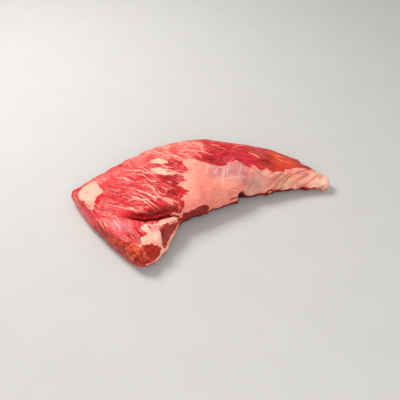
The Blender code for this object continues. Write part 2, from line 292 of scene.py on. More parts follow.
class Tone(Enum):
    """Colours of raw beef in plain daylight, and after them what darkens the colour under it; a few of these
    are painted shade.
    """

    CHERRY = "#d2232c"  # muscle that the air has bloomed
    BLOOM = "#e2434a"  # the same under a breath of fat
    VEIL = "#ea504f"  # the same under a thin veil of fat
    ROSE = "#f67d77"
    CRIMSON = "#cb2f37"  # bare, moist muscle
    WINE = "#a0181e"
    BERRY = "#d0254c"
    BRICK = "#b53c31"  # muscle that has begun to dry
    EMBER = "#e6552d"
    RUST = "#ba3f26"
    AMBER = "#e26a46"
    SCARLET = "#b52715"
    PLUM = "#7c1c1f"  # fresh cut, not yet bloomed
    CLARET = "#a23f37"
    CREAM = "#f7b7a0"  # hard outer fat
    IVORY = "#fdd3bb"
    SHELL = "#f7a18e"
    SALMON = "#ee887a"
    CORAL = "#e68676"
    DUSTY = "#e4998a"
    TAN = "#dba987"
    OCHRE = "#d98a4a"
    PETAL = "#ee7080"
    STREAK_FAT = "#fbb5a0"
    PALE_FAT = "#fcc0a6"
    PINK_FAT = "#f2877f"
    LILAC = "#d08486"  # silverskin over muscle
    SAGE = "#c99c86"
    FILM_PALE = "#cd8886"
    FILM_GREY = "#a46c6e"
    THREAD = "#f6c4bb"  # in the silverskin
    DEPTH = "#3c0a0c"  # painted shade down in a notch

    # painted shade in creases and furrows
    FOLD_SHADE = "#ad504d"
    UNDER_SHADE = "#819595"  # painted shade where the side turns under and hardly any light gets in
    FURROW = "#ce9595"
    FIBRE = "#daadad"
    SPOT = "#e7a29e"
    BLOTCH = "#c8908b"
    DEEPER = "#c88990"
    REDDER = "#e18995"
    THIN_FAT = "#f0cecb"
    SPECK = "#e5c4bc"
    BLOOD = "#dd9e95"
    # painted shade in the valleys between the fat's strands
    VALLEY_SHADE = "#f3dfdf"

    @property
    def light(self) -> Rgba:
        """Give the colour in linear light."""
        return linear(self.value)


@dataclass(frozen=True)
class Patch:
    """An area of one tissue inside an outline, in plan or in space."""

    outline: Outline
    ragged: float = 0.0
    reach: float = 14.0  # an outline in space marks the surface up to this far in front of it and behind it
    overhang: float = 0.15  # how far a patch in plan goes on where the surface turns under

    def inside(self, points: Array, normals: Array) -> Array:
        """Measure how far points lie inside the patch.

        Args:
            points: Places on the roast.
            normals: Which way the surface faces there.

        Returns:
            Distance inside the outline, negative outside it.
        """
        corners = np.array(self.outline, float)
        if corners.shape[1] == 2:
            distance = inside_curve(points[:, :2], smooth_path(corners, closed=True))
            return np.minimum(distance, TURN_LOSS * (normals[:, 2] + self.overhang))
        middle = corners.mean(0)
        _, _, axes = np.linalg.svd(corners - middle)
        flat = smooth_path((corners - middle) @ axes[:2].T, closed=True)
        distance = inside_curve((points - middle) @ axes[:2].T, flat)
        return np.minimum(distance, self.reach - np.abs((points - middle) @ axes[2]))


@dataclass(frozen=True)
class Trail:
    """A line with tapered ends, such as a streak of marbling or a crease, in plan or in space."""

    path: Outline
    width: float
    strength: float = 1.0
    reach: float = 5.0  # a path in space marks the surface up to this far above or below it

    def beside(self, points: Array, normals: Array) -> tuple[Array, Array, Array]:
        """Measure points against the trail.

        Args:
            points: Places on the roast.
            normals: Which way the surface faces there.

        Returns:
            The rows of the points near the trail, their distance from its middle, and half its width there.
        """
        path = np.array(self.path, float)
        size = path.shape[1]
        curve = smooth_path(path, 4)
        margin = self.reach + self.width
        here = points[:, :size]
        rows = np.flatnonzero(((here > curve.min(0) - margin) & (here < curve.max(0) + margin)).all(1))
        distance, gap, share = from_curve(here[rows], curve)
        if size == 2:
            off = ease(*TURNING, normals[rows, 2])
        else:
            depth = np.abs((gap * normals[rows]).sum(1))
            distance = np.sqrt(np.maximum(distance**2 - depth**2, 0))
            off = ease(self.reach, FADED * self.reach, depth)
        half = 0.5 * self.width * (TIP + (1 - TIP) * np.sqrt(np.clip(4.0 * share * (1 - share), 0, 1)))
        return rows, distance + UNMARKED * off, half


# Fat lies over the lean in pads and sheets. The first outline is the fat cap with its torn left edge.
FAT_PADS = (
    Patch((
        (-7, 29), (-18, 30), (-22, 25), (-21, 14), (-20, 7), (-30, 5), (-27, -4), (-37, -9), (-31, -16),
        (-30, -24), (-36, -29), (-34, -34), (-38, -39), (-42, -48), (0, -60), (60, -52), (130, -50),
        (185, -50), (180, -12), (163, -7), (153, -3), (139, 1), (122, 0), (103, -4), (91, -4), (86, 2),
        (83, 2), (77, -1), (73, 2), (71, 8), (67, 10), (64, 6), (57, 9), (49, 15), (37, 13), (27, 9),
        (19, 13), (10, 17), (2, 21),
    ), ragged=2.2, overhang=0.75),
    Patch((
        (-159, 25), (-156, 33), (-148, 41), (-138, 44), (-134, 41), (-132, 29), (-129, 18), (-131, 14),
        (-136, 10), (-140, 3), (-143, -9), (-147, -8), (-148, -1), (-153, 7), (-158, 15),
    ), ragged=0.8),
    Patch((
        (-100, -80, 29), (-95, -71, 30), (-87, -66, 30), (-92, -58, 30), (-88, -52, 31), (-80, -55, 32),
        (-74, -58, 31), (-71, -66, 32), (-68, -72, 25), (-68, -79, 16), (-73, -87, 12), (-82, -96, 8),
        (-98, -99, 7), (-107, -93, 12), (-108, -87, 24),
    ), ragged=1.0, reach=18.0),
    Patch(((-61, 45), (-52, 47), (-45, 41), (-40, 34), (-46, 31), (-54, 36)), ragged=1.2),
    Patch((
        (-63, 29), (-53, 26), (-42, 19), (-30, 11), (-27, 5), (-40, 9), (-54, 15), (-60, 22),
    ), ragged=1.2),
    Patch((
        (46, 85, 18), (66, 77, 19), (86, 68, 17), (100, 61, 12), (84, 69, 7), (60, 80, 8),
    ), ragged=1.5, reach=8.0),
    Patch((
        (-136, 62, 16), (-120, 70, 18), (-104, 77, 15), (-112, 73, 9), (-128, 65, 9),
    ), ragged=1.5, reach=7.0),
    Patch((
        (-132, 10, 0), (-118, 24, 0), (-104, 22, 0), (-108, 6, 0), (-124, -2, 0),
    ), ragged=1.5, reach=2.5),
    Patch(((60, 30, 0), (84, 30, 0), (100, 16, 0), (84, 8, 0), (66, 14, 0)), ragged=1.5, reach=2.5),
)

# Where the knife has gone across the fibres: the wide end and the lobe.
CUT_ENDS = (
    Patch((
        (-167, 36, 20), (-165, 27, 21), (-157, 9, 26), (-149, -8, 28), (-145, -15, 27), (-141, -25, 28),
        (-136, -38, 28), (-132, -47, 27), (-126, -57, 27), (-119, -66, 27), (-110, -75, 29),
        (-101, -82, 29), (-101, -101, -3), (-180, 40, -3),
    ), ragged=0.8),
    Patch((
        (-100, -84, 29), (-90, -82, 29), (-81, -82, 25), (-75, -81, 18), (-76, -86, 14), (-80, -92, 12),
        (-86, -97, 11), (-94, -99, 10), (-103, -98, 7), (-108, -91, 14), (-106, -86, 25),
    ), ragged=0.6),
)

# Where it has gone along them: two faces in front.
CUT_SIDES = (
    Patch((
        (-73, -63, 31), (-61, -59, 30), (-50, -53, 25), (-45, -46, 17), (-51, -53, 15.5), (-59, -63, 16),
        (-66, -75, 14.5), (-71, -82, 15), (-73, -72, 29),
    ), ragged=0.2),
    Patch((
        (-41, -41, 23), (-30, -39, 25), (-18, -36, 27), (-9, -35, 27), (-3, -34, 20), (-5, -34, 12),
        (-16, -36, 11), (-27, -37, 9), (-40, -40, 9),
    ), ragged=0.4),
)

# Silverskin over the cap, over the second muscle, on the back and on the underside.
SILVERSKIN = (
    Patch((
        (4, 8), (14, 13), (27, 8), (37, 13), (50, 13), (57, 8), (66, 2), (78, -4), (86, -8), (80, -17),
        (62, -20), (50, -17), (40, -15), (32, -14), (25, -11), (14, -9), (5, -7),
    ), ragged=3.0),
    Patch(((-124, -38), (-112, -43), (-105, -51), (-111, -57), (-122, -49)), ragged=2.0),
    Patch((
        (-84, 80, 20), (-60, 89, 24), (-28, 95, 22), (4, 97, 18), (14, 96, 10), (-14, 97, 7), (-46, 93, 9),
        (-76, 85, 10),
    ), ragged=3.0, reach=10.0),
    Patch((
        (-96, 14, 0), (-72, 36, 0), (-40, 30, 0), (-18, 50, 0), (24, 44, 0), (50, 22, 0), (30, 12, 0),
        (-4, 16, 0), (-30, -4, 0), (-62, 4, 0), (-84, -6, 0),
    ), ragged=5.0, reach=1.5),
)

PATCHES = {
    Tissue.FAT: FAT_PADS,
    Tissue.FILM: SILVERSKIN,
    Tissue.CUT: CUT_ENDS,
    Tissue.FACE: CUT_SIDES,
}

# Streaks of fat that stand out, and a few painted highlights drawn as streaks: path in plan or in space,
# width, and strength where it is faint.
STREAKS = (
    Trail(((-76, 12), (-70, 2), (-66, -12), (-62, -20), (-54, -30), (-46, -37)), 1.8),
    Trail(((-97, 2), (-89, -5), (-80, -15), (-76, -25), (-71, -35), (-66, -40), (-63, -43)), 2.0),
    Trail(((-105, -13), (-94, -13), (-84, -18), (-80, -26), (-75, -37), (-70, -43)), 1.7),
    Trail(((-132, -6), (-120, -13), (-112, -19), (-103, -27), (-93, -34), (-85, -39), (-78, -43)), 1.6),
    Trail(((-113, -13), (-106, -19), (-99, -29), (-92, -38)), 1.4, 0.95),
    Trail(((-101, 54), (-90, 41), (-76, 33), (-70, 21)), 2.0, 0.95),
    Trail(((-99, 35), (-88, 33), (-76, 23), (-71, 14), (-67, 7)), 1.6),
    Trail(((-142, -13), (-133, -24), (-123, -30), (-113, -30)), 1.6, 0.9),
    Trail(((-77, 43), (-71, 33), (-67, 22)), 1.8),
    Trail(((-47, 81), (-40, 75), (-31, 67)), 2.6),
    Trail(((-64, -18), (-58, -27), (-51, -37), (-45, -40)), 1.8),
    Trail(((-104, -46), (-102, -53), (-99, -66), (-99, -76)), 1.3, 0.9),
    Trail(((-126, -53), (-116, -62), (-107, -72), (-100, -79)), 1.5, 0.9),
    Trail(((-43, 50), (-31, 44), (-23, 36), (-20, 28)), 2.8),
    Trail(((-28, 55), (-15, 51), (-3, 47), (3, 40)), 2.0, 0.95),
    Trail(((-23, 44), (-14, 42), (-9, 31)), 2.0, 0.95),
    Trail(((4, 26), (3, 34), (-2, 41)), 2.0, 0.88),
    Trail(((-54, -17), (-49, -13), (-43, -13), (-38, -16)), 1.4, 0.92),
    Trail(((-47, -26), (-41, -27), (-37, -23)), 1.4, 0.92),
    Trail(((-52, -26), (-46, -32), (-41, -36)), 1.6),
    Trail(((-96, -8), (-90, -12), (-85, -17)), 3.2, 0.9),
    Trail(((-88, 2), (-80, -6), (-74, -12)), 2.8, 0.88),
    Trail(((-77, -8), (-71, -18), (-66, -25)), 2.6, 0.9),
    Trail(((-104, -22), (-96, -30)), 3.0, 0.86),
    Trail(((-76, 27), (-66, 22), (-58, 20)), 3.0, 0.86),
    Trail(((69, 34), (76, 30), (82, 22)), 2.2),
    Trail(((71, 37), (78, 36)), 1.4, 0.9),
    Trail(((51, 44), (56, 50), (64, 52)), 1.6, 0.9),
    Trail(((33, 27), (33, 21), (34, 15)), 1.4, 0.88),
    Trail(((34, 25), (41, 25), (48, 21)), 1.4, 0.88),
    Trail(((36, 14), (42, 18), (47, 23)), 1.5, 0.9),
    Trail(((27, 20), (35, 19), (42, 15)), 1.4, 0.86),
    Trail(((2, 70), (8, 63), (12, 55)), 3.6, 1.0),
    Trail(((9, 68), (15, 60)), 3.0, 0.96),
    Trail(((-8, 67), (0, 61)), 2.6, 0.88),
    Trail(((14, 57), (10, 49), (9, 41), (12, 35)), 2.0, 0.84),
    # Painted highlights: small pale spots of wet sheen on the bare band behind the cap.
    Trail(((31, 52), (37, 49), (42, 45)), 2.0, 0.9),
    Trail(((24, 59), (31, 57), (38, 54)), 2.2, 0.9),
    Trail(((56, 56), (64, 55), (72, 50)), 2.0, 0.9),
    # Painted highlights: peach streaks of wet sheen on the orange muscle towards the tail.
    Trail(((103, 25), (112, 18), (121, 13)), 2.2, 0.95),
    Trail(((108, 9), (115, 6), (124, 3)), 1.8, 0.88),
    Trail(((101, 32), (110, 26), (118, 22)), 1.8, 0.88),
    Trail(((-160, 18, 27), (-153, 5, 29), (-148, -8, 30), (-145, -18, 27), (-142, -31, 26)), 1.6, 0.92),
    Trail(((-142, -23, 27), (-139, -31, 28), (-137, -38, 26), (-135, -45, 24)), 2.4, 0.95),
    Trail(((-135, -51, 5), (-128, -61, 3), (-121, -72, 4)), 3.0, 0.86),
    Trail(((-119, -75, 3), (-115, -83, 5), (-108, -92, 4), (-102, -97, 5)), 3.4, 0.95),
    Trail(((-116, -74, 20), (-112, -82, 17), (-108, -90, 17)), 1.6, 0.88),
)

# Pale threads and one wide veil in the silverskin.
WISPS = (
    Trail(((9, 17), (5, 6), (1, -3)), 3.4, 0.74),
    Trail(((22, 10), (16, 3), (11, -4)), 2.3, 0.84),
    Trail(((28, 9), (26, -1), (20, -11), (19, -19)), 4.2, 0.74),
    Trail(((37, 11), (31, 2), (29, -6)), 2.6, 0.8),
    Trail(((43, 22), (37, 14), (29, 8), (23, -2), (20, -15)), 3.6, 0.74),
    Trail(((34, 20), (43, 22), (49, 16)), 2.7, 0.84),
    Trail(((53, 12), (49, 3), (44, -7), (45, -16)), 3.6, 0.7),
    Trail(((66, 3), (60, -4), (57, -12)), 3.4, 0.7),
    Trail(((12, -9), (26, -9), (40, -8), (54, -7)), 8.0, 0.66),
)

# Wider bands of fat: the ridge and rim of the second muscle, the rim of the lobe, the strip in front.
BANDS = (
    Trail(((-76, -58, 31), (-67, -55, 31), (-58, -51, 31), (-50, -47, 29), (-41, -40, 21)), 8.5),
    Trail((
        (-43, -43, 12), (-50, -51, 12.5), (-57, -61, 12.5), (-65, -73, 12), (-72, -83, 11), (-80, -92, 10),
    ), 5.6, reach=6.0),
    Trail((
        (-74, -83, 16), (-78, -89.5, 13), (-82, -93, 12), (-87, -96, 12.5), (-92, -97.8, 12.5),
        (-97, -98, 11),
    ), 3.6, reach=6.0),
    Trail(((-43, -42, 5), (-29, -38, 6), (-19, -36, 7), (-8, -35, 7), (6, -31, 5)), 5.0),
    Trail(((-129, -58, 2.5), (-124, -66, 4), (-119, -74, 3)), 3.2, reach=4.0),
    Trail(((-115, -80, 4), (-110, -88, 3), (-104, -96, 5)), 3.6, reach=4.0),
)

# Torn fingers of lean that point into the fat cap, and the dark lean below the fat of the tail.
FINGERS = (
    Trail(((-43, 28), (-37, 23), (-29, 17), (-19, 12)), 2.6),
    Trail(((-34, 30), (-28, 24), (-20, 19)), 2.2),
    Trail(((-45, 17), (-35, 13), (-26, 6), (-20, 4)), 3.0),
    Trail(((-52, 5), (-40, 2), (-33, -3), (-25, -7)), 3.6),
    Trail(((-49, -6), (-42, -4), (-33, -6)), 2.2),
    Trail(((-46, -8), (-38, -13), (-30, -20), (-26, -22)), 2.6),
    Trail(((-40, -28), (-36, -32), (-36, -36)), 2.2),
    Trail(((-87, -55, 31), (-84, -58, 32), (-80, -64, 31)), 1.5),
    Trail(((-77, -60, 32), (-75, -64, 31), (-76, -69, 30)), 1.3),
    Trail(((74, -18, 9), (79, -18, 9), (86, -18, 14), (94, -17, 12), (99, -17, 11)), 2.4),
    Trail(((116, -19, 6), (124, -20, 7), (133, -22, 7)), 1.8),
)

# Creases that are sunk and painted with shade: the seam, the fold beside it, the notch, the tail's folds and
# nicks in the fat.
CREASES = (
    Trail(((-102, -37), (-94, -39), (-85, -43), (-76, -45), (-66, -45), (-56, -43), (-44, -41)), 7.0),
    Trail(((-88, -41), (-75, -43), (-63, -42), (-46, -39)), 8.5, 0.9),
    Trail(((-79, -55, 30), (-72, -63, 30), (-70, -74, 26)), 2.0, 0.5),
    Trail(((-44, -42, 22), (-43, -43, 14), (-42, -42, 8)), 4.0, 0.8),
    Trail(((40, -22, 22), (43, -18, 16), (46, -16, 10), (49, -17, 5)), 7.0, 1.25, reach=7.0),
    Trail(((24, -24, 32), (28, -24, 30), (33, -23, 29)), 1.4, 0.6),
    Trail(((25, -26, 28), (30, -25, 27), (36, -23, 27)), 1.4, 0.65),
    Trail(((29, -22, 33), (34, -21, 32), (38, -20, 30)), 1.3, 0.55),
    Trail(((27, -26, 19), (33, -26, 20), (38, -23, 20)), 2.2, 0.95),
    Trail(((24, -28, 10), (30, -27, 13), (36, -25, 11), (42, -20, 12)), 2.6, 1.05),
    Trail(((27, -29, 5), (34, -27, 4), (41, -20, 3)), 3.0, 0.9),
    Trail(((62, -18, 8), (68, -19, 11), (75, -18, 9)), 3.2),
    Trail(((76, -18, 9), (82, -18, 13), (87, -18, 15)), 2.6, 0.9),
    Trail(((87, -18, 12), (94, -18, 10), (101, -18, 13)), 3.0),
    Trail(((103, -19, 9), (110, -19, 6), (118, -20, 8)), 2.6, 0.9),
    Trail(((122, -21, 6), (130, -22, 8), (138, -24, 6)), 2.4, 0.9),
    Trail(((148, -27, 6), (154, -28, 9), (158, -27, 13)), 2.4, 0.8),
    Trail(((82, -19, 22), (89, -15, 27), (97, -11, 30), (109, -3, 31)), 1.9, 0.72),
    Trail(((89, -19, 15), (95, -18, 24), (107, -12, 28), (122, -2, 28)), 2.0, 0.75),
    Trail(((99, -19, 18), (110, -15, 26), (124, -8, 27), (140, -3, 25)), 1.8, 0.62),
    Trail(((116, -20, 17), (127, -16, 22), (140, -11, 23)), 1.8, 0.62),
    Trail(((130, -22, 14), (141, -19, 19), (152, -15, 21)), 1.8, 0.62),
    Trail(((64, -12, 31), (60, -14.5, 28), (55, -16.5, 26), (54, -18.5, 21)), 1.9, 0.55),
    Trail(((-165.5, 31, 22), (-162, 24, 24.5), (-160, 18, 25.5), (-155, 6, 27)), 1.7, 0.75),
    Trail(((-168, 38, 18), (-167, 34, 14)), 2.6, 0.8),
    Trail(((68, 3), (72, -4), (77, -10)), 1.6, 0.5),
    Trail(((52, -18, 4), (62, -18, 6), (74, -18, 6), (86, -18, 8), (99, -18, 8), (112, -19, 5)), 3.0, 0.8),
    Trail(((116, -19, 5), (128, -21, 5), (142, -25, 5), (154, -28, 5)), 2.6, 0.7),
    Trail(((-44, -41, 4), (-29, -38, 2), (-12, -34, 2), (6, -32, 3), (24, -30, 3)), 3.0, 0.7),
    Trail(((-140, -31, 21), (-139, -40, 20), (-135, -47, 17)), 3.0, 0.45),
    Trail(((-150, 8, 26), (-146, 2, 29), (-144, -6, 30)), 1.6, 0.5),
    Trail(((50, 14, 44), (58, 8, 42), (66, 4, 40)), 2.2, 0.6),
)

# Hollows where the fat has torn away, and humps with a negative depth: middle, radius and depth.
HOLLOWS = (
    (44, -18, 13, 6, 2.8), (38, -22, 7, 5, -2.8), (34, -27, 14, 5, -1.4), (56, -18, 12, 8, -1.6),
    (70, -19, 6, 6, -1.8), (82, -19, 6, 5, -1.6), (93, -19, 5, 5, -1.4), (106, -19, 4, 6, -1.6),
    (141, -24, 9, 6, -1.2), (162, -26, 8, 7, -1.4), (150, -20, 16, 8, -0.8), (153, -29, 4, 4, 1.8),
    (98, -18, 9, 3, 1.4), (76, -18, 10, 3, 1.2), (-46, 3, 46, 7, 1.5), (-34, 24, 48, 6, 1.3),
    (-36, -1, 47, 6, 1.2), (-40, -22, 42, 5, 1.2), (-52, 14, 46, 6, 0.9), (74, 8, 38, 3, 1.2),
    (80, 5, 36, 3, 1.0), (67, 9, 40, 3, -0.8), (24, 26, 45, 12, 0.9), (52, 26, 43, 9, 0.8),
    (12, 44, 47, 8, 0.7), (-64, -36, 42, 7, 0.8), (90, 8, 37, 6, 0.9),
)

# Soft areas of tone: centre (x, y, z) and radius.
LEAN_WASHES = {
    Tone.CHERRY: (
        (-124, 17, 32, 15), (-124, -3, 33, 14), (-103, 10, 36, 14), (-108, -12, 35, 13), (-82, 6, 40, 12),
        (-97, -30, 37, 12), (-157, 6, 23, 8), (-75, -33, 41, 10), (-100, -62, 29, 7), (-60, 50, 42, 12),
    ),
    Tone.BLOOM: (
        (-112, 32, 34, 11), (-89, 50, 36, 12), (-116, -24, 33, 9), (-131, -26, 31, 10), (-118, -44, 31, 10),
        (-151, -6, 10, 7), (-108, -54, 30, 9), (-97, -47, 30, 8), (-151, -9, 25, 7), (-144, -22, 26, 7),
        (-53, -34, 41, 8),
    ),
    Tone.ROSE: (
        (-166, 26, 12, 8), (-160, 12, 12, 8), (4, 63, 44, 8), (12, 57, 46, 5), (-102, 46, 33, 9),
        (-77, 66, 34, 12), (-54, 75, 36, 12), (-65, 62, 40, 8), (-30, 70, 42, 9), (2, 50, 48, 9),
        (-163, 20, 22, 6), (-130, 44, 24, 12), (-16, 90, 24, 14), (50, 84, 16, 14), (-40, 60, 45, 13),
        (-78, 54, 39, 12), (-12, 50, 48, 12), (-60, 54, 43, 12), (-16, 63, 45, 14), (-112, -50, 30, 6),
        (-3, 58, 45, 9),
    ),
    Tone.CRIMSON: (
        (-60, 2, 44, 11), (-56, -8, 43, 9), (-34, 3, 48, 9), (-30, 22, 49, 9), (12, 40, 47, 9),
        (24, 48, 45, 11), (41, 31, 45, 12), (55, 36, 43, 11), (52, 20, 43, 9), (68, 26, 40, 10),
        (73, 10, 39, 8), (-146, -27, 14, 7), (-42, -33, 40, 7), (10, 62, 44, 9),
    ),
    Tone.WINE: ((-46, 3, 46, 8), (28, 22, 45, 12), (20, 30, 45, 9), (-44, -14, 44, 6), (146, 1, 20, 6)),
    Tone.BERRY: (
        (61, 30, 42, 9), (68, 20, 40, 8), (50, 36, 43, 7), (22, 34, 46, 8), (34, 30, 45, 7),
        (-66, 26, 42, 6),
    ),
    Tone.BRICK: ((88, 27, 36, 11), (85, 12, 37, 9), (78, 36, 36, 10), (-139, -42, 9, 9), (97, 12, 34, 8)),
    Tone.EMBER: ((109, 26, 31, 10), (107, 10, 32, 8), (121, 14, 28, 10), (116, 20, 29, 9)),
    Tone.RUST: (
        (137, 16, 21, 8), (134, 3, 25, 8), (120, 2, 28, 6), (-129, -58, 22, 9), (-120, -70, 20, 9),
        (-112, -82, 18, 10), (-104, -88, 26, 9), (-104, -95, 14, 8), (118, 38, 20, 10),
    ),
    Tone.SCARLET: ((-90, -90, 26, 10), (-84, -92, 20, 9), (-98, -93, 20, 9)),
    Tone.PLUM: (
        (-30, -39, 20, 10), (-16, -36, 20, 10), (-6, -35, 20, 8), (-71, -68, 28, 5), (-60, -58, 28, 3),
    ),
    Tone.CLARET: ((-67, -70, 22, 8), (-60, -61, 22, 8), (-52, -53, 19, 7), (-70, -76, 16, 7)),
    Tone.PETAL: ((-164, 22, 14, 8), (-157, 6, 13, 8), (-150, -8, 13, 7), (-113, -48, 31, 10)),
    Tone.SHELL: (
        (4, 60, 46, 8), (-14, 54, 48, 8), (-30, 66, 44, 8), (-48, 60, 44, 7), (-66, 66, 38, 7),
        (-4, 72, 40, 8), (-118, -42, 31, 6), (-108, -48, 31, 6),
    ),
}
FAT_WASHES = {
    Tone.CREAM: (
        (-146, 25, 30, 22), (-90, -70, 30, 14), (-78, -80, 24, 10), (-50, 40, 46, 9), (-50, 21, 46, 9),
        (-82, -54, 31, 8), (-66, -54, 31, 8), (-54, -50, 29, 7), (141, -16, 20, 6), (113, -18, 15, 6),
        (62, -19, 10, 7), (-60, -66, 14, 7), (-70, -81, 13, 7),
    ),
    Tone.IVORY: ((150, -22, 14, 7), (162, -21, 15, 9), (166, -18, 8, 8)),
    Tone.OCHRE: ((157, -17, 20, 3.4), (122, -13, 23, 3.2), (112, -12, 26, 2.4)),
    # painted shade down in the notch
    Tone.DEPTH: ((45, -17, 10, 4.5), (46, -17, 5, 4.5)),
    Tone.PETAL: ((39, -20, 6, 4.5), (34, -26, 12, 3), (-114, -47, 31, 12), (-79, -65, 31, 5)),
    Tone.CRIMSON: ((146, -4, 22, 3.2), (153, -28, 10, 3)),
    Tone.SHELL: (
        (-20, 4, 49, 11), (-20, -9, 47, 10), (-12, 22, 50, 9), (-24, -22, 43, 9), (-60, -56, 31, 9),
        (20, -13, 41, 8), (-18, 36, 48, 10), (6, 10, 48, 6), (116, -6, 28, 7), (33, -15, 38, 7),
        (22, -24, 30, 8),
    ),
    Tone.SALMON: (
        (-5, -4, 47, 13), (-8, -18, 44, 12), (-2, 14, 49, 10), (-14, -32, 33, 9), (60, -2, 37, 9),
    ),
    Tone.CORAL: ((3, -24, 37, 13), (14, -26, 31, 9), (2, -33, 24, 10), (22, -30, 20, 9)),
    Tone.DUSTY: (
        (82, -13, 29, 10), (95, -12, 30, 9), (88, -19, 20, 9), (126, -8, 26, 9), (127, -17, 18, 6),
    ),
    Tone.TAN: ((62, -16, 24, 7), (55, -17, 16, 6), (106, -16, 22, 7), (98, -18, 18, 5), (150, -12, 21, 5)),
    Tone.LILAC: ((20, 2, 45, 12), (34, 2, 44, 12), (48, 2, 41, 10), (134, -9, 25, 7)),
    Tone.SAGE: ((70, -8, 33, 8), (64, -14, 28, 7), (76, -1, 35, 5), (98, -10, 28, 4)),
}


@dataclass(frozen=True)
class Grain:
    """Which way the muscle fibres run, over the three areas that the fat and the seam part."""

    main_slant: float = -43.0  # degrees in plan
    flap_slant: float = -68.0
    band_slant: float = -24.0
    seam: Outline = (
        (-122, -28), (-110, -33), (-99, -37), (-86, -43), (-75, -45), (-63, -44), (-50, -42), (-38, -40),
    )
    flap_side: Span = (3.0, -9.0)  # distance from the seam over which the second muscle begins
    flap_from: Span = (-20.0, -45.0)  # where it begins along x
    band_from: Span = (-8.0, 14.0)  # where the bare band behind the cap begins along x
    stretch: float = 7.0
    wander: Layers = ((34.0, 4.0, 1), (11.9, 1.68, 2))

    def shares(self, plan: Array) -> tuple[Array, Array]:
        """Tell to which muscle points belong.

        Args:
            plan: Places seen from above.

        Returns:
            How much of each belongs to the second muscle, and how much to the bare band behind the cap.
        """
        distance, gap, _ = from_curve(plan, smooth_path(np.array(self.seam, float), 2))
        ahead = np.array(self.seam[-1], float) - self.seam[0]
        side = np.sign(ahead[0] * gap[:, 1] - ahead[1] * gap[:, 0]) * distance
        flap = ease(*self.flap_side, side) * ease(*self.flap_from, plan[:, 0])
        return flap, ease(*self.band_from, plan[:, 0])

    def slant(self, plan: Array) -> Array:
        """Give the direction of the fibres.

        Args:
            plan: Places seen from above.

        Returns:
            The angle in plan, in radians.
        """
        flap, band = self.shares(plan)
        degrees = self.main_slant + (self.flap_slant - self.main_slant) * flap
        return np.radians(degrees + (self.band_slant - self.main_slant) * band)

    def coordinates(self, points: Array) -> Array:
        """Place points along, across and above the grain.

        Args:
            points: Places on the roast.

        Returns:
            For each point the way along the grain, pressed together so that a round pattern drawn in it is
            long along the fibres, the way across it, and the height.
        """
        along, across = turned(points, self.slant(points[:, :2]))
        return np.column_stack([along / self.stretch, across + lumps(points, *self.wander), points[:, 2]])


@dataclass(frozen=True)
class Growth:
    """Lines drawn by rule along the grain, such as marbling or the furrows between bundles of muscle."""

    seed: int
    widths: Span
    strengths: Span
    beds: tuple[tuple[float, float, float, int], ...]  # middle in plan, radius and number of lines
    step: float = 4.4
    steps: tuple[int, int] = (2, 8)
    bends: Span = (10.0, 30.0)  # degrees to either side
    sway: float = 1.3  # how fast a line bends to and fro, in radians a step
    forks: float = 0.45  # share of the lines that fork
    fork_turn: float = 36.0
    fork_steps: float = 1.8

    def trails(self, grain: Grain) -> list[Trail]:
        """Grow the lines.

        Args:
            grain: The direction of the fibres.

        Returns:
            The lines as trails in plan.
        """
        draw = np.random.default_rng(self.seed)
        made = []
        for x, y, radius, count in self.beds:
            for _ in range(count):
                away, turn = radius * math.sqrt(draw.uniform()), draw.uniform(0, 2 * math.pi)
                place = np.array([x + away * math.cos(turn), y + away * math.sin(turn)])
                bend, phase = math.radians(draw.uniform(*self.bends)), draw.uniform(0, 2 * math.pi)
                path = [place]
                for n in range(draw.integers(*self.steps)):
                    slant = float(grain.slant(place[None])[0]) + bend * math.sin(self.sway * n + phase)
                    place = place + self.step * np.array([math.cos(slant), math.sin(slant)])
                    path.append(place)
                if len(path) < 2:
                    continue
                width, strength = draw.uniform(*self.widths), draw.uniform(*self.strengths)
                made.append(Trail(tuple(map(tuple, path)), width, strength))
                if draw.uniform() < self.forks:
                    start = path[len(path) // 2]
                    turn = slant + math.radians(self.fork_turn) * draw.choice((-1, 1))
                    ahead = self.step * np.array([math.cos(turn), math.sin(turn)])
                    fork = (tuple(start), tuple(start + ahead), tuple(start + self.fork_steps * ahead))
                    made.append(Trail(fork, width, strength))
        return made


MARBLING = Growth(
    seed=7,
    widths=(1.6, 2.3),
    strengths=(0.86, 0.98),
    beds=(
        (-84, -8, 27, 14), (-100, 24, 22, 4), (-62, 44, 20, 10), (-30, 64, 24, 9), (-56, -28, 12, 3),
        (-120, -30, 16, 3), (-60, 84, 20, 3), (20, 92, 28, 2), (-10, 58, 14, 3),
    ),
)
# Furrows between bundles of muscle, sunk a little and painted with shade like the creases.
FURROWS = Growth(
    seed=23,
    widths=(1.2, 2.4),
    strengths=(0.35, 0.65),
    bends=(6.0, 20.0),
    forks=0.0,
    beds=(
        (-84, -8, 28, 24), (-60, 38, 24, 14), (-26, 62, 26, 12), (-122, 4, 20, 8), (-46, 8, 16, 10),
        (30, 40, 26, 14), (70, 32, 26, 14), (110, 22, 22, 8), (-108, -56, 16, 6), (-60, 84, 20, 6),
        (30, 88, 34, 8),
    ),
)

Seen = dict[Carried | Pattern, Socket]


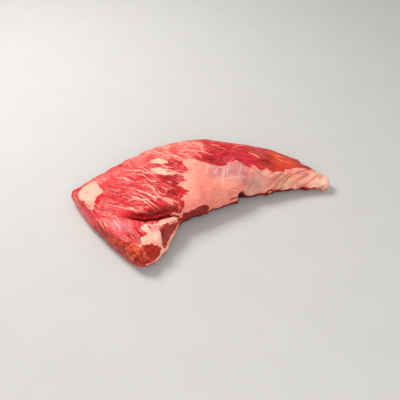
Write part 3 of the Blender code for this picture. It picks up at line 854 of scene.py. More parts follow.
@dataclass(frozen=True)
class Share:
    """How much of something shows, by a pattern or by a value that the mesh carries."""

    source: Carried | Pattern
    none: float  # the value where nothing of it shows
    full: float  # the value where the most of it shows
    most: float = 1.0
    ramp: Ramp = Ramp.SOFT
    unmarbled: float = 1.0  # how much of it is left where the lean has no marbling
    torn_by: tuple[tuple[Pattern, float], ...] = ()  # patterns that shift the value, and by how much

    def add(self, tree: bpy.types.NodeTree, seen: Seen) -> Socket:
        """Work the share out.

        Args:
            tree: Node tree to add to.
            seen: What the mesh carries and the patterns.

        Returns:
            The share's output socket.
        """
        value = seen[self.source]
        for pattern, by in self.torn_by:
            shift = {0: seen[pattern], 1: by, 2: value}
            value = add_node(tree, "Math", shift, operation="MULTIPLY_ADD").outputs[0]
        inputs = {"Value": value, "From Min": self.none, "From Max": self.full, "To Max": self.most}
        share = add_node(tree, "MapRange", inputs, interpolation_type=self.ramp.value).outputs[0]
        if self.unmarbled == 1:
            return share
        inputs = {"Value": seen[Carried.MARBLED], "To Min": self.unmarbled}
        left = add_node(tree, "MapRange", inputs).outputs[0]
        return add_node(tree, "Math", {0: share, 1: left}, operation="MULTIPLY").outputs[0]


@dataclass(frozen=True)
class Coat:
    """A tint that shows in places over another colour."""

    share: Share
    tint: Tone
    lies: Lies = Lies.DARKENS


@dataclass(frozen=True)
class RawBeef:
    """Raw beef: wet muscle with fat and silverskin, as a butcher's knife and pull leave it.

    The eye sees a soft, slightly see-through body with a thin film of moisture on it: deep reds that glow at
    thin edges, fibres that run one way, waxy pale fat, and small soft highlights.
    """

    shorter: Point = (1.8, 1, 1)  # how much less than the fibres the veins are drawn out
    line: Share = Share(
        Carried.STREAK, 1.01, 1.25, 0.80, Ramp.EVEN, torn_by=((Pattern.LUMP, 0.5), (Pattern.GRIT, 0.2))
    )
    vein: Share = Share(Pattern.VEIN, 0.062, 0.036, 0.70, torn_by=((Pattern.GRIT, 0.05),))
    unbroken: Share = Share(Pattern.BREAK, 0.44, 0.56)
    fleck: Share = Share(Pattern.FLECK, 0.59, 0.68, 0.7)
    rich: Share = Share(Pattern.AREA, 0.43, 0.60)
    fat: Share = Share(Carried.FAT_IN, 2.7, 3.9, torn_by=((Pattern.TORN, 5.0), (Pattern.GRIT, 1.6)))
    cut: Share = Share(Carried.CUT_IN, -0.6, 0.8)
    film: Share = Share(Carried.FILM_IN, -3.0, 4.0, 0.8)
    wisp: Share = Share(Pattern.MOTTLE, 0.40, 0.62)
    lean_coats: tuple[Coat, ...] = (
        Coat(Share(Pattern.BUNDLE, 0.50, 0.30, 0.6, Ramp.EVEN), Tone.FURROW),
        Coat(Share(Pattern.MOTTLE, 0.48, 0.66, 0.27, unmarbled=0.0), Tone.VEIL, Lies.OVER),
        Coat(Share(Pattern.LUMP, 0.53, 0.40, 0.6, unmarbled=0.0), Tone.SPOT),
        Coat(Share(Pattern.FIBRE, 0.54, 0.34, 0.7, Ramp.EVEN, unmarbled=0.3), Tone.FIBRE),
    )
    cut_coats: tuple[Coat, ...] = (
        Coat(Share(Pattern.LUMP, 0.56, 0.38, 0.45, Ramp.EVEN), Tone.BLOTCH),
        Coat(Share(Pattern.CELL, 0.58, 0.70, 0.22), Tone.PINK_FAT, Lies.OVER),
    )
    fat_coats: tuple[Coat, ...] = (
        Coat(Share(Pattern.LUMP, 0.50, 0.74, 0.35), Tone.PALE_FAT, Lies.OVER),
        Coat(Share(Pattern.MOTTLE, 0.48, 0.32, 0.55), Tone.THIN_FAT),
        Coat(Share(Pattern.GRIT, 0.60, 0.72, 0.35, Ramp.EVEN), Tone.SPECK),
        Coat(Share(Pattern.CELL, 0.64, 0.76, 0.75, Ramp.EVEN), Tone.BLOOD),
    )
    # Painted shade: creases and furrows darken, and the foot of the sides darker still where the value
    # passes 1.
    fold_shades: tuple[Coat, ...] = (
        Coat(Share(Carried.CREASE, 0.0, 1.0, 1.0, Ramp.EVEN), Tone.FOLD_SHADE),
        Coat(Share(Carried.CREASE, 1.0, 2.0, 1.0, Ramp.EVEN), Tone.UNDER_SHADE),
    )
    film_clear: float = 0.45  # how much of the fat's tone shows in the silverskin
    thread: float = 0.55  # how much the threads in it stand out
    roughness: float = 0.33
    film_roughness: float = 0.26
    gritty: float = 0.16  # how much rougher grit makes the surface
    ior: float = 1.4  # meat juice, a little above water
    specular: float = 0.18
    moist: float = 0.15
    moist_roughness: float = 0.15
    glow: float = 0.16
    glow_radius: Point = (4.0, 1.4, 0.8)  # red light goes furthest in flesh
    bump_height: float = 0.7
    streak_bump: float = 0.35
    bump_strength: Span = (0.55, 0.12)  # bare, and under silverskin

    def material(self) -> bpy.types.Material:
        """Build the material.

        Returns:
            The material, which reads what the mesh carries.
        """
        material = bpy.data.materials.new("raw_beef_surface")
        material.use_nodes = True
        tree = material.node_tree
        tree.nodes.clear()
        seen = self.seen(tree)
        streaks = self.streaks(tree, seen)
        fat = self.fat.add(tree, seen)
        film = self.film.add(tree, seen)
        inputs = {"Value": film, "To Min": self.roughness, "To Max": self.film_roughness}
        rough = add_node(tree, "MapRange", inputs).outputs[0]
        inputs = {0: seen[Pattern.GRIT], 1: self.gritty, 2: rough}
        rough = add_node(tree, "Math", inputs, operation="MULTIPLY_ADD").outputs[0]
        bump = self.bump(tree, seen, streaks, fat, film)
        inputs = {
            "Base Color": self.colour(tree, seen, streaks, fat, film),
            "Roughness": rough,
            "Normal": bump,
            "IOR": self.ior,
            "Specular IOR Level": self.specular,
            "Subsurface Weight": self.glow,
            "Subsurface Radius": self.glow_radius,
            "Subsurface Scale": MM,
            "Coat Weight": self.moist,
            "Coat Roughness": self.moist_roughness,
            "Coat Normal": bump,
        }
        shader = add_node(tree, "BsdfPrincipled", inputs)
        add_node(tree, "OutputMaterial", {"Surface": shader.outputs[0]})
        return material

    def seen(self, tree: bpy.types.NodeTree) -> Seen:
        """Read what the mesh carries, and the noise patterns.

        Args:
            tree: Node tree to add to.

        Returns:
            Their output sockets. A vein's is how far it is from the vein's middle.
        """
        kinds = {Carried.GRAIN: "Vector", Carried.LEAN_TONE: "Color", Carried.FAT_TONE: "Color"}
        seen = {}
        for name in Carried:
            read = add_node(tree, "Attribute", attribute_name=name.value)
            seen[name] = read.outputs[kinds.get(name, "Fac")]
        grain = seen[Carried.GRAIN]
        shorter = add_node(tree, "VectorMath", {0: grain, 1: self.shorter}, operation="MULTIPLY").outputs[0]
        place = add_node(tree, "TexCoord").outputs["Object"]
        runs = {Run.GRAIN: (grain, 1.0), Run.SHORT: (shorter, 1.0), Run.EVEN: (place, MM)}
        for pattern in Pattern:
            width, detail, run = pattern.value
            vector, unit = runs[run]
            inputs = {"Vector": vector, "Scale": 1 / (width * unit), "Detail": detail}
            seen[pattern] = add_node(tree, "TexNoise", inputs).outputs["Fac"]
        middle = add_node(tree, "Math", {0: seen[Pattern.VEIN], 1: 0.5}, operation="SUBTRACT").outputs[0]
        seen[Pattern.VEIN] = add_node(tree, "Math", {0: middle}, operation="ABSOLUTE").outputs[0]
        return seen

    def streaks(self, tree: bpy.types.NodeTree, seen: Seen) -> Socket:
        """Draw the marbling, both the streaks that the mesh carries and the finest flecks.

        Args:
            tree: Node tree to add to.
            seen: What the mesh carries and the patterns.

        Returns:
            The share of fat, as an output socket.
        """
        share = self.vein.add(tree, seen)
        for operation, other in (
            ("MULTIPLY", self.unbroken.add(tree, seen)),
            ("MAXIMUM", self.fleck.add(tree, seen)),
            ("MULTIPLY", self.rich.add(tree, seen)),
            ("MULTIPLY", seen[Carried.MARBLED]),
            ("MAXIMUM", self.line.add(tree, seen)),
        ):
            share = add_node(tree, "Math", {0: share, 1: other}, operation=operation).outputs[0]
        return share

    def coated(
        self, tree: bpy.types.NodeTree, seen: Seen, colour: Socket, coats: tuple[Coat, ...]
    ) -> Socket:
        """Lay coats over a colour.

        Args:
            tree: Node tree to add to.
            seen: What the mesh carries and the patterns.
            colour: What lies under the coats.
            coats: The coats, the lowest first.

        Returns:
            The colour's output socket.
        """
        for coat in coats:
            inputs = {0: coat.share.add(tree, seen), 6: colour, 7: coat.tint.light}
            colour = add_node(tree, "Mix", inputs, data_type="RGBA", blend_type=coat.lies.value).outputs[2]
        return colour

    def colour(
        self, tree: bpy.types.NodeTree, seen: Seen, streaks: Socket, fat: Socket, film: Socket
    ) -> Socket:
        """Colour the meat: lean, its cut faces, marbling, fat, silverskin and its threads, then the painted
        shade of the folds.

        Args:
            tree: Node tree to add to.
            seen: What the mesh carries and the patterns.
            streaks: The share of marbling.
            fat: The share of covering fat.
            film: The share of silverskin.

        Returns:
            The colour's output socket.
        """
        lean_tone, fat_tone = seen[Carried.LEAN_TONE], seen[Carried.FAT_TONE]
        colour = self.coated(tree, seen, lean_tone, self.lean_coats)
        face = self.coated(tree, seen, lean_tone, self.cut_coats)
        pad = self.coated(tree, seen, fat_tone, self.fat_coats)
        inputs = {0: streaks, 6: Tone.VEIL.light, 7: Tone.STREAK_FAT.light}
        streak = add_node(tree, "Mix", inputs, data_type="RGBA").outputs[2]
        inputs = {0: self.wisp.add(tree, seen), 6: Tone.FILM_GREY.light, 7: Tone.FILM_PALE.light}
        skin = add_node(tree, "Mix", inputs, data_type="RGBA").outputs[2]
        inputs = {0: self.film_clear, 6: skin, 7: fat_tone}
        skin = add_node(tree, "Mix", inputs, data_type="RGBA").outputs[2]
        thread = add_node(tree, "Math", {0: streaks, 1: fat}, operation="MULTIPLY").outputs[0]
        thread = add_node(tree, "Math", {0: thread, 1: self.thread}, operation="MULTIPLY").outputs[0]
        for share, over in (
            (self.cut.add(tree, seen), face),
            (streaks, streak),
            (fat, pad),
            (film, skin),
            (thread, Tone.THREAD.light),
        ):
            colour = add_node(tree, "Mix", {0: share, 6: colour, 7: over}, data_type="RGBA").outputs[2]
        return self.coated(tree, seen, colour, self.fold_shades)

    def bump(
        self, tree: bpy.types.NodeTree, seen: Seen, streaks: Socket, fat: Socket, film: Socket
    ) -> Socket:
        """Roughen the surface more finely than the mesh does: fibres on the lean, grit on the fat.

        Args:
            tree: Node tree to add to.
            seen: What the mesh carries and the patterns.
            streaks: The share of marbling.
            fat: The share of covering fat.
            film: The share of silverskin, under which the bump is weaker.

        Returns:
            The normal's output socket.
        """
        inputs = {0: fat, 2: seen[Pattern.FIBRE], 3: seen[Pattern.GRIT]}
        height = add_node(tree, "Mix", inputs, data_type="FLOAT").outputs[0]
        inputs = {0: streaks, 1: self.streak_bump, 2: height}
        height = add_node(tree, "Math", inputs, operation="MULTIPLY_ADD").outputs[0]
        bare, filmed = self.bump_strength
        strength = add_node(tree, "MapRange", {"Value": film, "To Min": bare, "To Max": filmed}).outputs[0]
        inputs = {"Strength": strength, "Distance": self.bump_height * MM, "Height": height}
        return add_node(tree, "Bump", inputs).outputs[0]


@dataclass(frozen=True)
class Fleck:
    """A tint that shows at points where noise goes from one value to another."""

    tint: Tone
    most: float
    start: float
    full: float
    lies: Lies = Lies.OVER

    def over(self, tone: Array, value: Array, where: Array) -> Array:
        """Lay the flecks over a colour.

        Args:
            tone: The colour at each point.
            value: The noise there.
            where: How much of the flecks there can be at each point.

        Returns:
            The new colour at each point.
        """
        tint = np.array(self.tint.light)
        if self.lies is Lies.DARKENS:
            tint = tone * tint
        share = self.most * where * ease(self.start, self.full, value)
        return tone + (tint - tone) * share[:, None]


def washed(points: Array, washes: dict[Tone, tuple[Point, ...]], base: Tone) -> Array:
    """Blend soft areas of tone over a base tone.

    Args:
        points: Places on the roast.
        washes: The areas of each tone.
        base: The tone where no wash reaches.

    Returns:
        A colour at each point.
    """
    weights = np.full(len(points), BASE_WEIGHT)
    total = np.outer(weights, base.light)
    for tone, areas in washes.items():
        for *centre, radius in areas:
            share = near(points, centre, radius)
            total += np.outer(share, tone.light)
            weights += share
    return total / weights[:, None]


@dataclass(frozen=True)
class Lean:
    """How the colour of the bare muscle changes from place to place."""

    base: Tone = Tone.CHERRY
    band_from: Span = (-2.0, 14.0)  # along x, the bare band behind the cap
    band_to: Span = (150.0, 120.0)
    main_to: Span = (0.0, -20.0)  # along x, the marbled muscle
    main_shade: float = 0.7  # how much of the band's dark blotches it has
    blotches: Layers = ((8.0, 1.0, 24), (3.6, 0.7, 25))
    pale_blotch: Fleck = Fleck(Tone.BLOOM, 0.45, 0.15, 0.7)
    dark_blotch: Fleck = Fleck(Tone.DEEPER, 0.6, -0.10, -0.65, Lies.DARKENS)
    crest: tuple[Point, Point] = ((-30, 62), (67.9, 26.3))  # middle and radii of the fatty ridge, in plan
    long_speckles: Layer = (4.6, 1.0, 29)
    round_speckles: Layer = (2.4, 0.6, 30)
    speckle_length: Point = (2.6, 1, 1)  # how much less than the fibres they are drawn out
    pale_speckle: Fleck = Fleck(Tone.CREAM, 0.6, 0.05, 0.5)
    red_speckle: Fleck = Fleck(Tone.REDDER, 0.8, -0.05, -0.5, Lies.DARKENS)
    dapples: Layers = ((6.0, 1.0, 17), (2.6, 0.7, 18))
    fine_dapples: Layer = (3.4, 0.4, 20)
    dry_to: Span = (-150.0, -122.0)  # along x, the cut faces that have begun to dry
    dry_in: Span = (-0.5, 1.0)
    lobe_from: Span = (-84.0, -100.0)  # along x, the lobe's face, which stays darker
    amber_dapple: Fleck = Fleck(Tone.AMBER, 0.6, 0.08, 0.45)
    plum_dapple: Fleck = Fleck(Tone.PLUM, 0.75, -0.05, -0.45)

    def tone(self, points: Array, wavy: Array, grain: Array, cut: Array) -> Array:
        """Colour the muscle.

        Args:
            points: Places on the roast.
            wavy: The same places, shifted to and fro.
            grain: Their places along, across and above the grain.
            cut: How far they lie inside a face cut across the fibres.

        Returns:
            A colour at each point.
        """
        x = points[:, 0]
        band = ease(*self.band_from, x) * ease(*self.band_to, x)
        main = self.main_shade * ease(*self.main_to, x)
        crest = near(points[:, :2], *self.crest)
        dry = ease(*self.dry_to, x) * ease(*self.dry_in, cut)
        blotch = lumps(points, *self.blotches)
        speckle = lumps(grain * self.speckle_length, self.long_speckles) + lumps(points, self.round_speckles)
        dapple = lumps(points, *self.dapples)
        tone = washed(wavy, LEAN_WASHES, self.base)
        for fleck, value, where in (
            (self.pale_blotch, blotch, band),
            (self.dark_blotch, blotch, np.maximum(band, main)),
            (self.pale_speckle, speckle, crest),
            (self.red_speckle, speckle, crest),
            (self.amber_dapple, dapple, dry * ease(*self.lobe_from, x)),
            (self.plum_dapple, dapple + lumps(points, self.fine_dapples), dry),
        ):
            tone = fleck.over(tone, value, where)
        return tone


@dataclass(frozen=True)
class Fat:
    """How the fat's colour changes from place to place, with slanting strands over the tail, painted with
    shade in their valleys and with light on their ridges.
    """

    base: Tone = Tone.SALMON
    slant: float = 26.0  # of the strands, in degrees
    length: float = 6.0  # how much longer than wide a strand is
    steepness: float = 0.6
    strand: Layer = (6.0, 4.0, 12)
    finer: Layer = (2.7, 0.4, 13)
    starts: float = 64.0  # along x
    coloured_over: float = 20.0
    raised_over: float = 18.0
    height: float = 0.4
    # Painted shade in the strands' valleys and painted light on their ridges, over the same strands that the
    # relief raises and sinks.
    valley: Fleck = Fleck(Tone.VALLEY_SHADE, 1.0, 0.1, -1.1, Lies.DARKENS)
    ridge: Fleck = Fleck(Tone.CREAM, 0.5, 0.3, 0.9)

    def strands(self, points: Array) -> Array:
        """Draw the strands.

        Args:
            points: Places on the roast.

        Returns:
            A value at each point, from about -1 in a valley to 1 on a ridge.
        """
        along, across = turned(points, math.radians(self.slant))
        place = np.column_stack([along / self.length, across, self.steepness * points[:, 2]])
        return 1 - np.abs(lumps(place, self.strand)) + lumps(place, self.finer)

    def relief(self, points: Array) -> Array:
        """Raise and sink the fat by its strands."""
        tail = ease(self.starts, self.starts + self.raised_over, points[:, 0])
        return self.height * self.strands(points) * tail

    def tone(self, points: Array, wavy: Array) -> Array:
        """Colour the fat.

        Args:
            points: Places on the roast.
            wavy: The same places, shifted to and fro.

        Returns:
            A colour at each point.
        """
        tail = ease(self.starts, self.starts + self.coloured_over, points[:, 0])
        strands = self.strands(points)
        tone = washed(wavy, FAT_WASHES, self.base)
        for fleck in (self.valley, self.ridge):
            tone = fleck.over(tone, strands, tail)
        return tone


@dataclass(frozen=True)
class PaintedFootShade:
    """Painted shade that darkens the foot of the sides, where they overhang and little light reaches them.
    """

    height: float = 9.0
    cap_height: float = 3.0  # how much higher it is in front of the fat cap
    cap_from: Span = (-50.0, -25.0)  # along x
    cap_to: Span = (95.0, 60.0)
    uneven: Layer = (9.0, 1.6, 28)
    edge: Span = (2.5, -1.0)  # above the height
    steep: Span = (0.7, 0.3)
    under: Span = (4.0, 1.0)  # how far under the roast it goes
    full_shade_from: Span = (-130.0, -75.0)  # along x; the cut of the wide end gets less of the painted shade
    # share of the painted shade that the cut of the wide end gets
    wide_end_share: float = 0.25
    tip_from: Span = (140.0, 160.0)
    tip_less: float = 0.5
    dark: float = 0.9
    darker: float = 0.8  # added where the surface faces down
    full_from: float = 0.5
    facing_down: Span = (0.1, -0.4)

    def depth(self, points: Array, normals: Array, from_rim: Array) -> Array:
        """Tell how much painted shade darkens the foot of the sides.

        Args:
            points: Places on the roast.
            normals: Which way the surface faces there.
            from_rim: How far in points of the underside lie.

        Returns:
            A value at each point, above 1 where it is hardly lit.
        """
        x, z, up = points[:, 0], points[:, 2], normals[:, 2]
        top = self.height + self.cap_height * ease(*self.cap_from, x) * ease(*self.cap_to, x)
        top = top + lumps(points, self.uneven)
        foot = ease(top + self.edge[0], top + self.edge[1], z) * ease(*self.steep, up)
        foot *= ease(*self.under, from_rim) * (1 - self.tip_less * ease(*self.tip_from, x))
        foot *= self.wide_end_share + (1 - self.wide_end_share) * ease(*self.full_shade_from, x)
        hidden = ease(self.full_from, 1.0, foot) * ease(*self.facing_down, up)
        return foot * (self.dark + self.darker * hidden)


@dataclass
class Roast:
    """The roast's visible body, refined from its solid."""

    grain: Grain = field(default_factory=Grain)
    lean: Lean = field(default_factory=Lean)
    fat: Fat = field(default_factory=Fat)
    # painted shade at the foot of the sides
    foot_shade: PaintedFootShade = field(default_factory=PaintedFootShade)
    finish: RawBeef = field(default_factory=RawBeef)
    weld: float = 0.01
    bend: float = 0.7  # radians, between triangles that are joined to one face
    skew: float = 1.2
    voxel: float = 1.0
    softening: tuple[float, int] = (0.5, 5)
    thinned: float = 0.93  # share of the points of the flat underside that goes, as nothing there needs them
    rim: float = 4.0  # the underside keeps its fine points this near its edge
    keep_rest: float = 1000.0  # how strongly thinning keeps to the underside
    foot: Span = (1.2, 2.6)  # where the sides end, as heights
    curl: float = 3.0  # how far the edge of the underside curls up at most
    curl_width: float = 5.0
    curl_height: float = 8.0
    curl_lumps: Layer = (18.0, 1.0, 19)
    curl_span: Span = (-0.7, 0.7)
    softness: float = 1.7  # how far the edge of a streak fades on the mesh
    edge_value: float = 0.78  # drawn where a streak's edge is
    spread: float = 1.5  # how far a wide streak fades, as a share of half its width
    fat_step: Span = (-0.8, 1.2)  # from the first distance inside a tissue to the second, the surface rises
    cut_step: Span = (-0.5, 1.0)
    film_step: Span = (-2.0, 4.0)
    off_cut: Span = (0.5, -0.5)  # what ends at a tissue's edge fades from the first distance to the second
    streak_off_fat: Span = (1.5, -0.5)
    marbling_off_fat: Span = (2.5, -0.5)
    furrow_off_fat: Span = (1.0, -1.0)
    wisp_on_fat: Span = (-1.0, 1.0)
    filled: float = 0.6  # how much of a furrow a streak fills
    steepness: float = 1.5  # power by which shallow creases count less
    deepest_crease: float = 2.0  # creases are carried up to this
    side_marbling: float = 0.4  # share of the marbling that upright sides have
    upright: Span = (-0.1, 0.4)
    flattened: float = 0.5  # how much of the fat's height silverskin presses down
    torn_along: Layer = (4.0, 1.0, 3)
    torn_round: Layer = (5.0, 0.6, 4)
    face_edge: float = 2.5  # how much sharper fat ends at a face cut along the fibres
    band_edge: float = 1.5
    band_torn: float = 0.3
    waves: tuple[float, float, tuple[int, ...]] = (14.0, 4.5, (5, 6, 7))  # size, height and seeds
    unmarbled_from: Span = (-4.0, 16.0)  # along x
    unmarbled: float = 0.8
    calm: tuple[Point, float, float] = ((-112, -52), 24.1, 0.6)  # smooth part of the second muscle
    bundles: Layer = (5.0, 2.4, 8)
    bundle_height: float = 0.55
    furrows: Layer = (2.3, 0.22, 9)
    streak_height: float = 0.30
    pad_height: float = 0.55
    fat_lumps: Layers = ((7.0, 0.35, 10), (2.8, 0.15, 11))
    side_crags: Layers = ((9.0, 1.5, 16), (4.0, 0.675, 22))  # the sides are more uneven than the top
    side_from: Span = (0.55, 0.1)
    back_lumps: Layers = ((7.5, 1.1, 26), (3.6, 0.66, 27))
    back_slope: Span = (0.94, 0.66)
    back_from: Span = (20.0, 55.0)
    back_skew: float = 0.3  # how far along y the back starts for each mm along x
    cut_grain: Layers = ((2.6, 0.30, 14), (6.0, 0.24, 15))
    crease_depth: float = 1.1
    pressed: Span = (0.8, 2.4)  # the underside stays flat up to this height
    facing_down: Span = (-0.85, -0.4)

    def build(self) -> bpy.types.Object:
        """Make, shape and dress the body.

        Returns:
            The finished piece, in place.
        """
        body = self.refined()
        mesh = body.data
        points = self.values(mesh, "co") / MM
        normals = self.values(mesh, "normal")
        from_rim = self.from_rim(points)
        carried = self.survey(points, normals)
        shaped = points + normals * self.relief(points, normals, carried)[:, None]
        curled = self.curl * ease(self.curl_width, 0, from_rim)
        curled *= ease(*self.curl_span, lumps(points, self.curl_lumps))
        shaped[:, 2] += curled * np.clip(1 - points[:, 2] / self.curl_height, 0, 1)
        mesh.vertices.foreach_set("co", (shaped * MM).ravel())
        # Painted shade at the foot of the sides, laid into the crease values after the relief, so it darkens
        # the colour without sinking the surface.
        painted_foot_shade = self.foot_shade.depth(points, normals, from_rim)
        carried[Carried.CREASE] = np.maximum(carried[Carried.CREASE], painted_foot_shade)
        for name, values in carried.items():
            columns = 1 if values.ndim == 1 else values.shape[1]
            kind, slot = ATTRIBUTES[columns]
            attribute = mesh.attributes.new(name.value, kind, "POINT")
            attribute.data.foreach_set(slot, values.astype(np.float32).ravel())
        mesh.shade_smooth()
        mesh.materials.clear()
        mesh.materials.append(self.finish.material())
        mesh.update()
        return body

    def refined(self) -> bpy.types.Object:
        """Copy the solid's mesh with its facets rounded off and an even, fine net of faces.

        Returns:
            The new object, linked to the scene.
        """
        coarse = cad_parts[NODE].data.copy()
        shell = bmesh.new()
        shell.from_mesh(coarse)
        bmesh.ops.remove_doubles(shell, verts=shell.verts, dist=self.weld * MM)
        bmesh.ops.join_triangles(
            shell, faces=shell.faces, angle_face_threshold=self.bend, angle_shape_threshold=self.skew
        )
        shell.to_mesh(coarse)
        shell.free()
        body = bpy.data.objects.new(PIECE, coarse)
        bpy.context.scene.collection.objects.link(body)
        rounded = body.modifiers.new("rounded", "SUBSURF")
        rounded.levels = rounded.render_levels = 1
        even = body.modifiers.new("even", "REMESH")
        even.mode = "VOXEL"
        even.voxel_size = self.voxel * MM
        soft = body.modifiers.new("soft", "SMOOTH")
        soft.factor, soft.iterations = self.softening
        self.settle(body)
        points = self.values(body.data, "co") / MM
        flat = np.flatnonzero(self.from_rim(points) > self.rim)
        underside = body.vertex_groups.new(name="underside")
        underside.add(flat.tolist(), 1.0, "REPLACE")
        coarser = body.modifiers.new("coarser", "DECIMATE")
        coarser.ratio = 1 - self.thinned * len(flat) / len(points)
        coarser.vertex_group = underside.name
        coarser.vertex_group_factor = self.keep_rest
        self.settle(body)
        body.vertex_groups.clear()
        return body

    def settle(self, body: bpy.types.Object) -> None:
        """Turn what the modifiers make of a body into its own mesh.

        Args:
            body: The body.
        """
        evaluated = body.evaluated_get(bpy.context.evaluated_depsgraph_get())
        fine = bpy.data.meshes.new_from_object(evaluated)
        body.modifiers.clear()
        body.data = fine

    def values(self, mesh: bpy.types.Mesh, name: str) -> Array:
        """Read three numbers of each point of a mesh.

        Args:
            mesh: The mesh.
            name: What they are called, such as co for the place.

        Returns:
            A row for each point.
        """
        numbers = np.zeros(len(mesh.vertices) * 3)
        mesh.vertices.foreach_get(name, numbers)
        return numbers.reshape(-1, 3)

    def from_rim(self, points: Array) -> Array:
        """Measure how far points lie under the roast, from the foot of its sides.

        Args:
            points: Places on the roast.

        Returns:
            The distance for points of the underside, and 0 for all others.
        """
        low = points[:, 2] < self.foot[0]
        foot = points[~low & (points[:, 2] < self.foot[1])]
        tree = kdtree.KDTree(len(foot))
        for number, (x, y, _) in enumerate(foot.tolist()):
            tree.insert((x, y, 0), number)
        tree.balance()
        gap = np.zeros(len(points))
        gap[low] = [tree.find((x, y, 0))[2] for x, y, _ in points[low].tolist()]
        return gap

    def survey(self, points: Array, normals: Array) -> dict[Carried, Array]:
        """Work out what lies at each point of the surface.

        Args:
            points: Places on the roast.
            normals: Which way the surface faces there.

        Returns:
            The values that the mesh carries, by name.
        """
        grain = self.grain.coordinates(points)
        torn = lumps(grain, self.torn_along) + lumps(points, self.torn_round)
        fat, film, coarse, face = (self.widest(tissue, points, normals, torn) for tissue in Tissue)
        cut = np.maximum(coarse, face)
        fat = np.minimum(fat, -self.in_trails(FINGERS, points, normals))
        fat = np.minimum(fat, -np.maximum(coarse, self.face_edge * face))
        bands = self.band_edge * self.in_trails(BANDS, points, normals) + self.band_torn * torn
        fat = np.maximum(fat, bands)
        uncut = ease(*self.off_cut, cut)
        grown = self.in_streaks(MARBLING.trails(self.grain), points, normals) * uncut
        placed = self.in_streaks(STREAKS, points, normals)
        wisps = self.in_streaks(WISPS, points, normals) * ease(*self.wisp_on_fat, fat)
        streak = np.maximum(np.maximum(grown, placed) * ease(*self.streak_off_fat, fat), wisps)
        furrows = self.in_streaks(FURROWS.trails(self.grain), points, normals)
        furrows *= ease(*self.furrow_off_fat, np.maximum(fat, cut))
        furrows *= 1 - self.filled * np.clip(streak, 0, 1)
        # Furrows and creases: sunk by the relief, and painted with shade by the material.
        folded = np.maximum(furrows, self.in_streaks(CREASES, points, normals))
        middle, radius, less = self.calm
        marbled = (1 - self.unmarbled * ease(*self.unmarbled_from, points[:, 0])) * uncut
        marbled *= (1 - less * near(points[:, :2], middle, radius)) * ease(*self.marbling_off_fat, fat)
        marbled *= self.side_marbling + (1 - self.side_marbling) * ease(*self.upright, normals[:, 2])
        size, height, seeds = self.waves
        wavy = points + np.column_stack([lumps(points, (size, height, seed)) for seed in seeds])
        return {
            Carried.GRAIN: grain,
            Carried.LEAN_TONE: self.lean.tone(points, wavy, grain, coarse),
            Carried.FAT_TONE: self.fat.tone(points, wavy),
            Carried.FAT_IN: np.clip(fat, -DEEPEST, DEEPEST),
            Carried.FILM_IN: np.clip(film, -DEEPEST, DEEPEST),
            Carried.CUT_IN: np.clip(cut, -DEEPEST, DEEPEST),
            Carried.MARBLED: marbled,
            Carried.STREAK: streak,
            Carried.CREASE: np.clip(folded**self.steepness, 0, self.deepest_crease),
        }

    def widest(self, tissue: Tissue, points: Array, normals: Array, torn: Array) -> Array:
        """Measure how far points lie inside any patch of a tissue.

        Args:
            tissue: What the patches show.
            points: Places on the roast.
            normals: Which way the surface faces there.
            torn: Noise that tears the edges of ragged patches.

        Returns:
            The largest distance inside, negative outside all.
        """
        inside = [patch.inside(points, normals) + patch.ragged * torn for patch in PATCHES[tissue]]
        return np.max(inside, axis=0)

    def in_trails(self, trails: tuple[Trail, ...], points: Array, normals: Array) -> Array:
        """Measure how far points lie inside any of several trails.

        Args:
            trails: The trails.
            points: Places on the roast.
            normals: Which way the surface faces there.

        Returns:
            The largest distance inside, negative outside all.
        """
        inside = np.full(len(points), -DEEPEST)
        for trail in trails:
            rows, distance, half = trail.beside(points, normals)
            inside[rows] = np.maximum(inside[rows], half - distance)
        return inside

    def in_streaks(self, trails: list[Trail] | tuple[Trail, ...], points: Array, normals: Array) -> Array:
        """Draw trails as rounded ridges that are wide enough for the mesh, however thin the trail is.

        Args:
            trails: The trails.
            points: Places on the roast.
            normals: Which way the surface faces there.

        Returns:
            A value at each point that passes the edge value where a trail's edge is.
        """
        ridge = np.zeros(len(points))
        for trail in trails:
            rows, distance, half = trail.beside(points, normals)
            spread = np.maximum(self.softness, self.spread * half)
            drawn = trail.strength * self.edge_value * np.exp((half**2 - distance**2) / spread**2)
            ridge[rows] = np.maximum(ridge[rows], drawn)
        return ridge

    def relief(self, points: Array, normals: Array, carried: dict[Carried, Array]) -> Array:
        """Raise and sink the surface.

        Args:
            points: Places on the roast.
            normals: Which way the surface faces there.
            carried: What lies at each point.

        Returns:
            How far each point moves out, in millimetres.
        """
        grain, up = carried[Carried.GRAIN], normals[:, 2]
        fat = ease(*self.fat_step, carried[Carried.FAT_IN])
        cut = ease(*self.cut_step, carried[Carried.CUT_IN])
        film = ease(*self.film_step, carried[Carried.FILM_IN])
        behind = ease(*self.back_slope, up)
        behind *= ease(*self.back_from, points[:, 1] + self.back_skew * points[:, 0])
        fibres = self.bundle_height * (1 - np.abs(lumps(grain, self.bundles))) + lumps(grain, self.furrows)
        fibres += self.streak_height * np.minimum(carried[Carried.STREAK], 1)
        height = fibres * (1 - fat) * (1 - cut)
        height += fat * (self.pad_height * (1 - self.flattened * film) + self.fat.relief(points))
        height += fat * (1 - film) * lumps(points, *self.fat_lumps)
        height += (1 - cut) * ease(*self.side_from, up) * lumps(points, *self.side_crags)
        height += behind * lumps(points, *self.back_lumps)
        height += cut * lumps(points, *self.cut_grain)
        height -= self.crease_depth * np.minimum(carried[Carried.CREASE], 1)
        for *middle, radius, depth in HOLLOWS:
            height -= depth * near(points, middle, radius)
        return height * ease(*self.pressed, points[:, 2]) * ease(*self.facing_down, up)


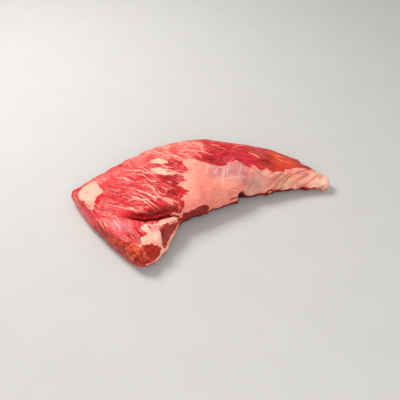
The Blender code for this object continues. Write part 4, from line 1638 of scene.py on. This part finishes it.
@dataclass(frozen=True)
class PaleFloor:
    """Pale matt card under the roast, which scatters light evenly and hardly shines."""

    colour: str = "#c0c1c1"
    size: float = 6000.0
    drop: float = 0.2
    mottle: float = 55.0  # width of the card's faint clouds, which are wide and shallow
    shades: Span = (0.96, 1.04)
    roughness: float = 0.75
    ior: float = 1.45

    def build(self) -> bpy.types.Object:
        """Make the floor.

        Returns:
            The floor, just under the roast.
        """
        mesh = bpy.data.meshes.new("floor")
        half = self.size / 2 * MM
        corners = [(x * half, y * half, -self.drop * MM) for x, y in ((-1, -1), (1, -1), (1, 1), (-1, 1))]
        mesh.from_pydata(corners, [], [(0, 1, 2, 3)])
        mesh.materials.append(self.material())
        floor = bpy.data.objects.new("floor", mesh)
        bpy.context.scene.collection.objects.link(floor)
        return floor

    def material(self) -> bpy.types.Material:
        """Build the card's material.

        Returns:
            The material.
        """
        material = bpy.data.materials.new("pale_card")
        material.use_nodes = True
        tree = material.node_tree
        tree.nodes.clear()
        place = add_node(tree, "TexCoord").outputs["Object"]
        inputs = {"Vector": place, "Scale": 1 / (self.mottle * MM), "Detail": 2.0}
        cloudy = add_node(tree, "TexNoise", inputs).outputs[0]
        darkest, palest = self.shades
        shade = add_node(tree, "MapRange", {"Value": cloudy, "To Min": darkest, "To Max": palest}).outputs[0]
        inputs = {0: 1.0, 6: linear(self.colour), 7: shade}
        colour = add_node(tree, "Mix", inputs, data_type="RGBA", blend_type="MULTIPLY").outputs[2]
        inputs = {"Base Color": colour, "Roughness": self.roughness, "IOR": self.ior}
        shader = add_node(tree, "BsdfPrincipled", inputs)
        add_node(tree, "OutputMaterial", {"Surface": shader.outputs[0]})
        return material


@dataclass(frozen=True)
class SoftLight:
    """A large soft lamp that looks at the roast."""

    name: str
    at: Point
    size: float
    watts: float
    tint: str = "#ffffff"

    def build(self) -> bpy.types.Object:
        """Make the lamp.

        Returns:
            The lamp's object.
        """
        lamp = bpy.data.lights.new(self.name, "AREA")
        lamp.energy = self.watts
        lamp.size = self.size * MM
        lamp.color = linear(self.tint)[:3]
        made = bpy.data.objects.new(self.name, lamp)
        made.location = Vector(self.at) * MM
        made.rotation_euler = (-made.location).to_track_quat("-Z", "Y").to_euler()
        bpy.context.scene.collection.objects.link(made)
        return made


@dataclass
class Studio:
    """The camera at the photograph's viewing angle, soft light and a pale surround."""

    camera_at: Point = (-139.60, -498.97, 502.45)
    looks_at: Point = (-5.31, 2.20, 0.0)
    lens: float = 49.0
    surround: str = "#fbf9f6"
    surround_strength: float = 0.50
    lights: tuple[SoftLight, ...] = (
        SoftLight("key", (-430, 560, 900), 420, 11.5, "#fffaf4"),
        SoftLight("fill", (-60, -1000, 620), 900, 7.2, "#fffaf6"),
    )

    def build(self) -> None:
        """Place the camera, the lights and the surround."""
        camera = bpy.data.objects.new("camera", bpy.data.cameras.new("camera"))
        camera.data.lens = self.lens
        camera.location = Vector(self.camera_at) * MM
        aim = Vector(self.looks_at) * MM - camera.location
        camera.rotation_euler = aim.to_track_quat("-Z", "Y").to_euler()
        bpy.context.scene.collection.objects.link(camera)
        bpy.context.scene.camera = camera
        for light in self.lights:
            light.build()
        world = bpy.data.worlds.new("surround")
        world.use_nodes = True
        background = world.node_tree.nodes["Background"]
        background.inputs["Color"].default_value = linear(self.surround)
        background.inputs["Strength"].default_value = self.surround_strength
        bpy.context.scene.world = world
        bpy.context.scene.view_settings.view_transform = "Standard"


def write_sizes() -> None:
    """Update the view layer, so that the placed objects are current."""
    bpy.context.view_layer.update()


def main() -> None:
    """Build the studio and the roast, and tie the roast to the frame."""
    logging.basicConfig(level=logging.INFO, format="%(message)s")
    Studio().build()
    PaleFloor().build()
    body = Roast().build()
    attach(body, BODY)
    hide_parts(NODE)
    triangles = sum(len(face.vertices) - 2 for face in body.data.polygons)
    log.info("%s: %d points, %d triangles", body.name, len(body.data.vertices), triangles)
    write_sizes()


if __name__ == "__main__":
    main()
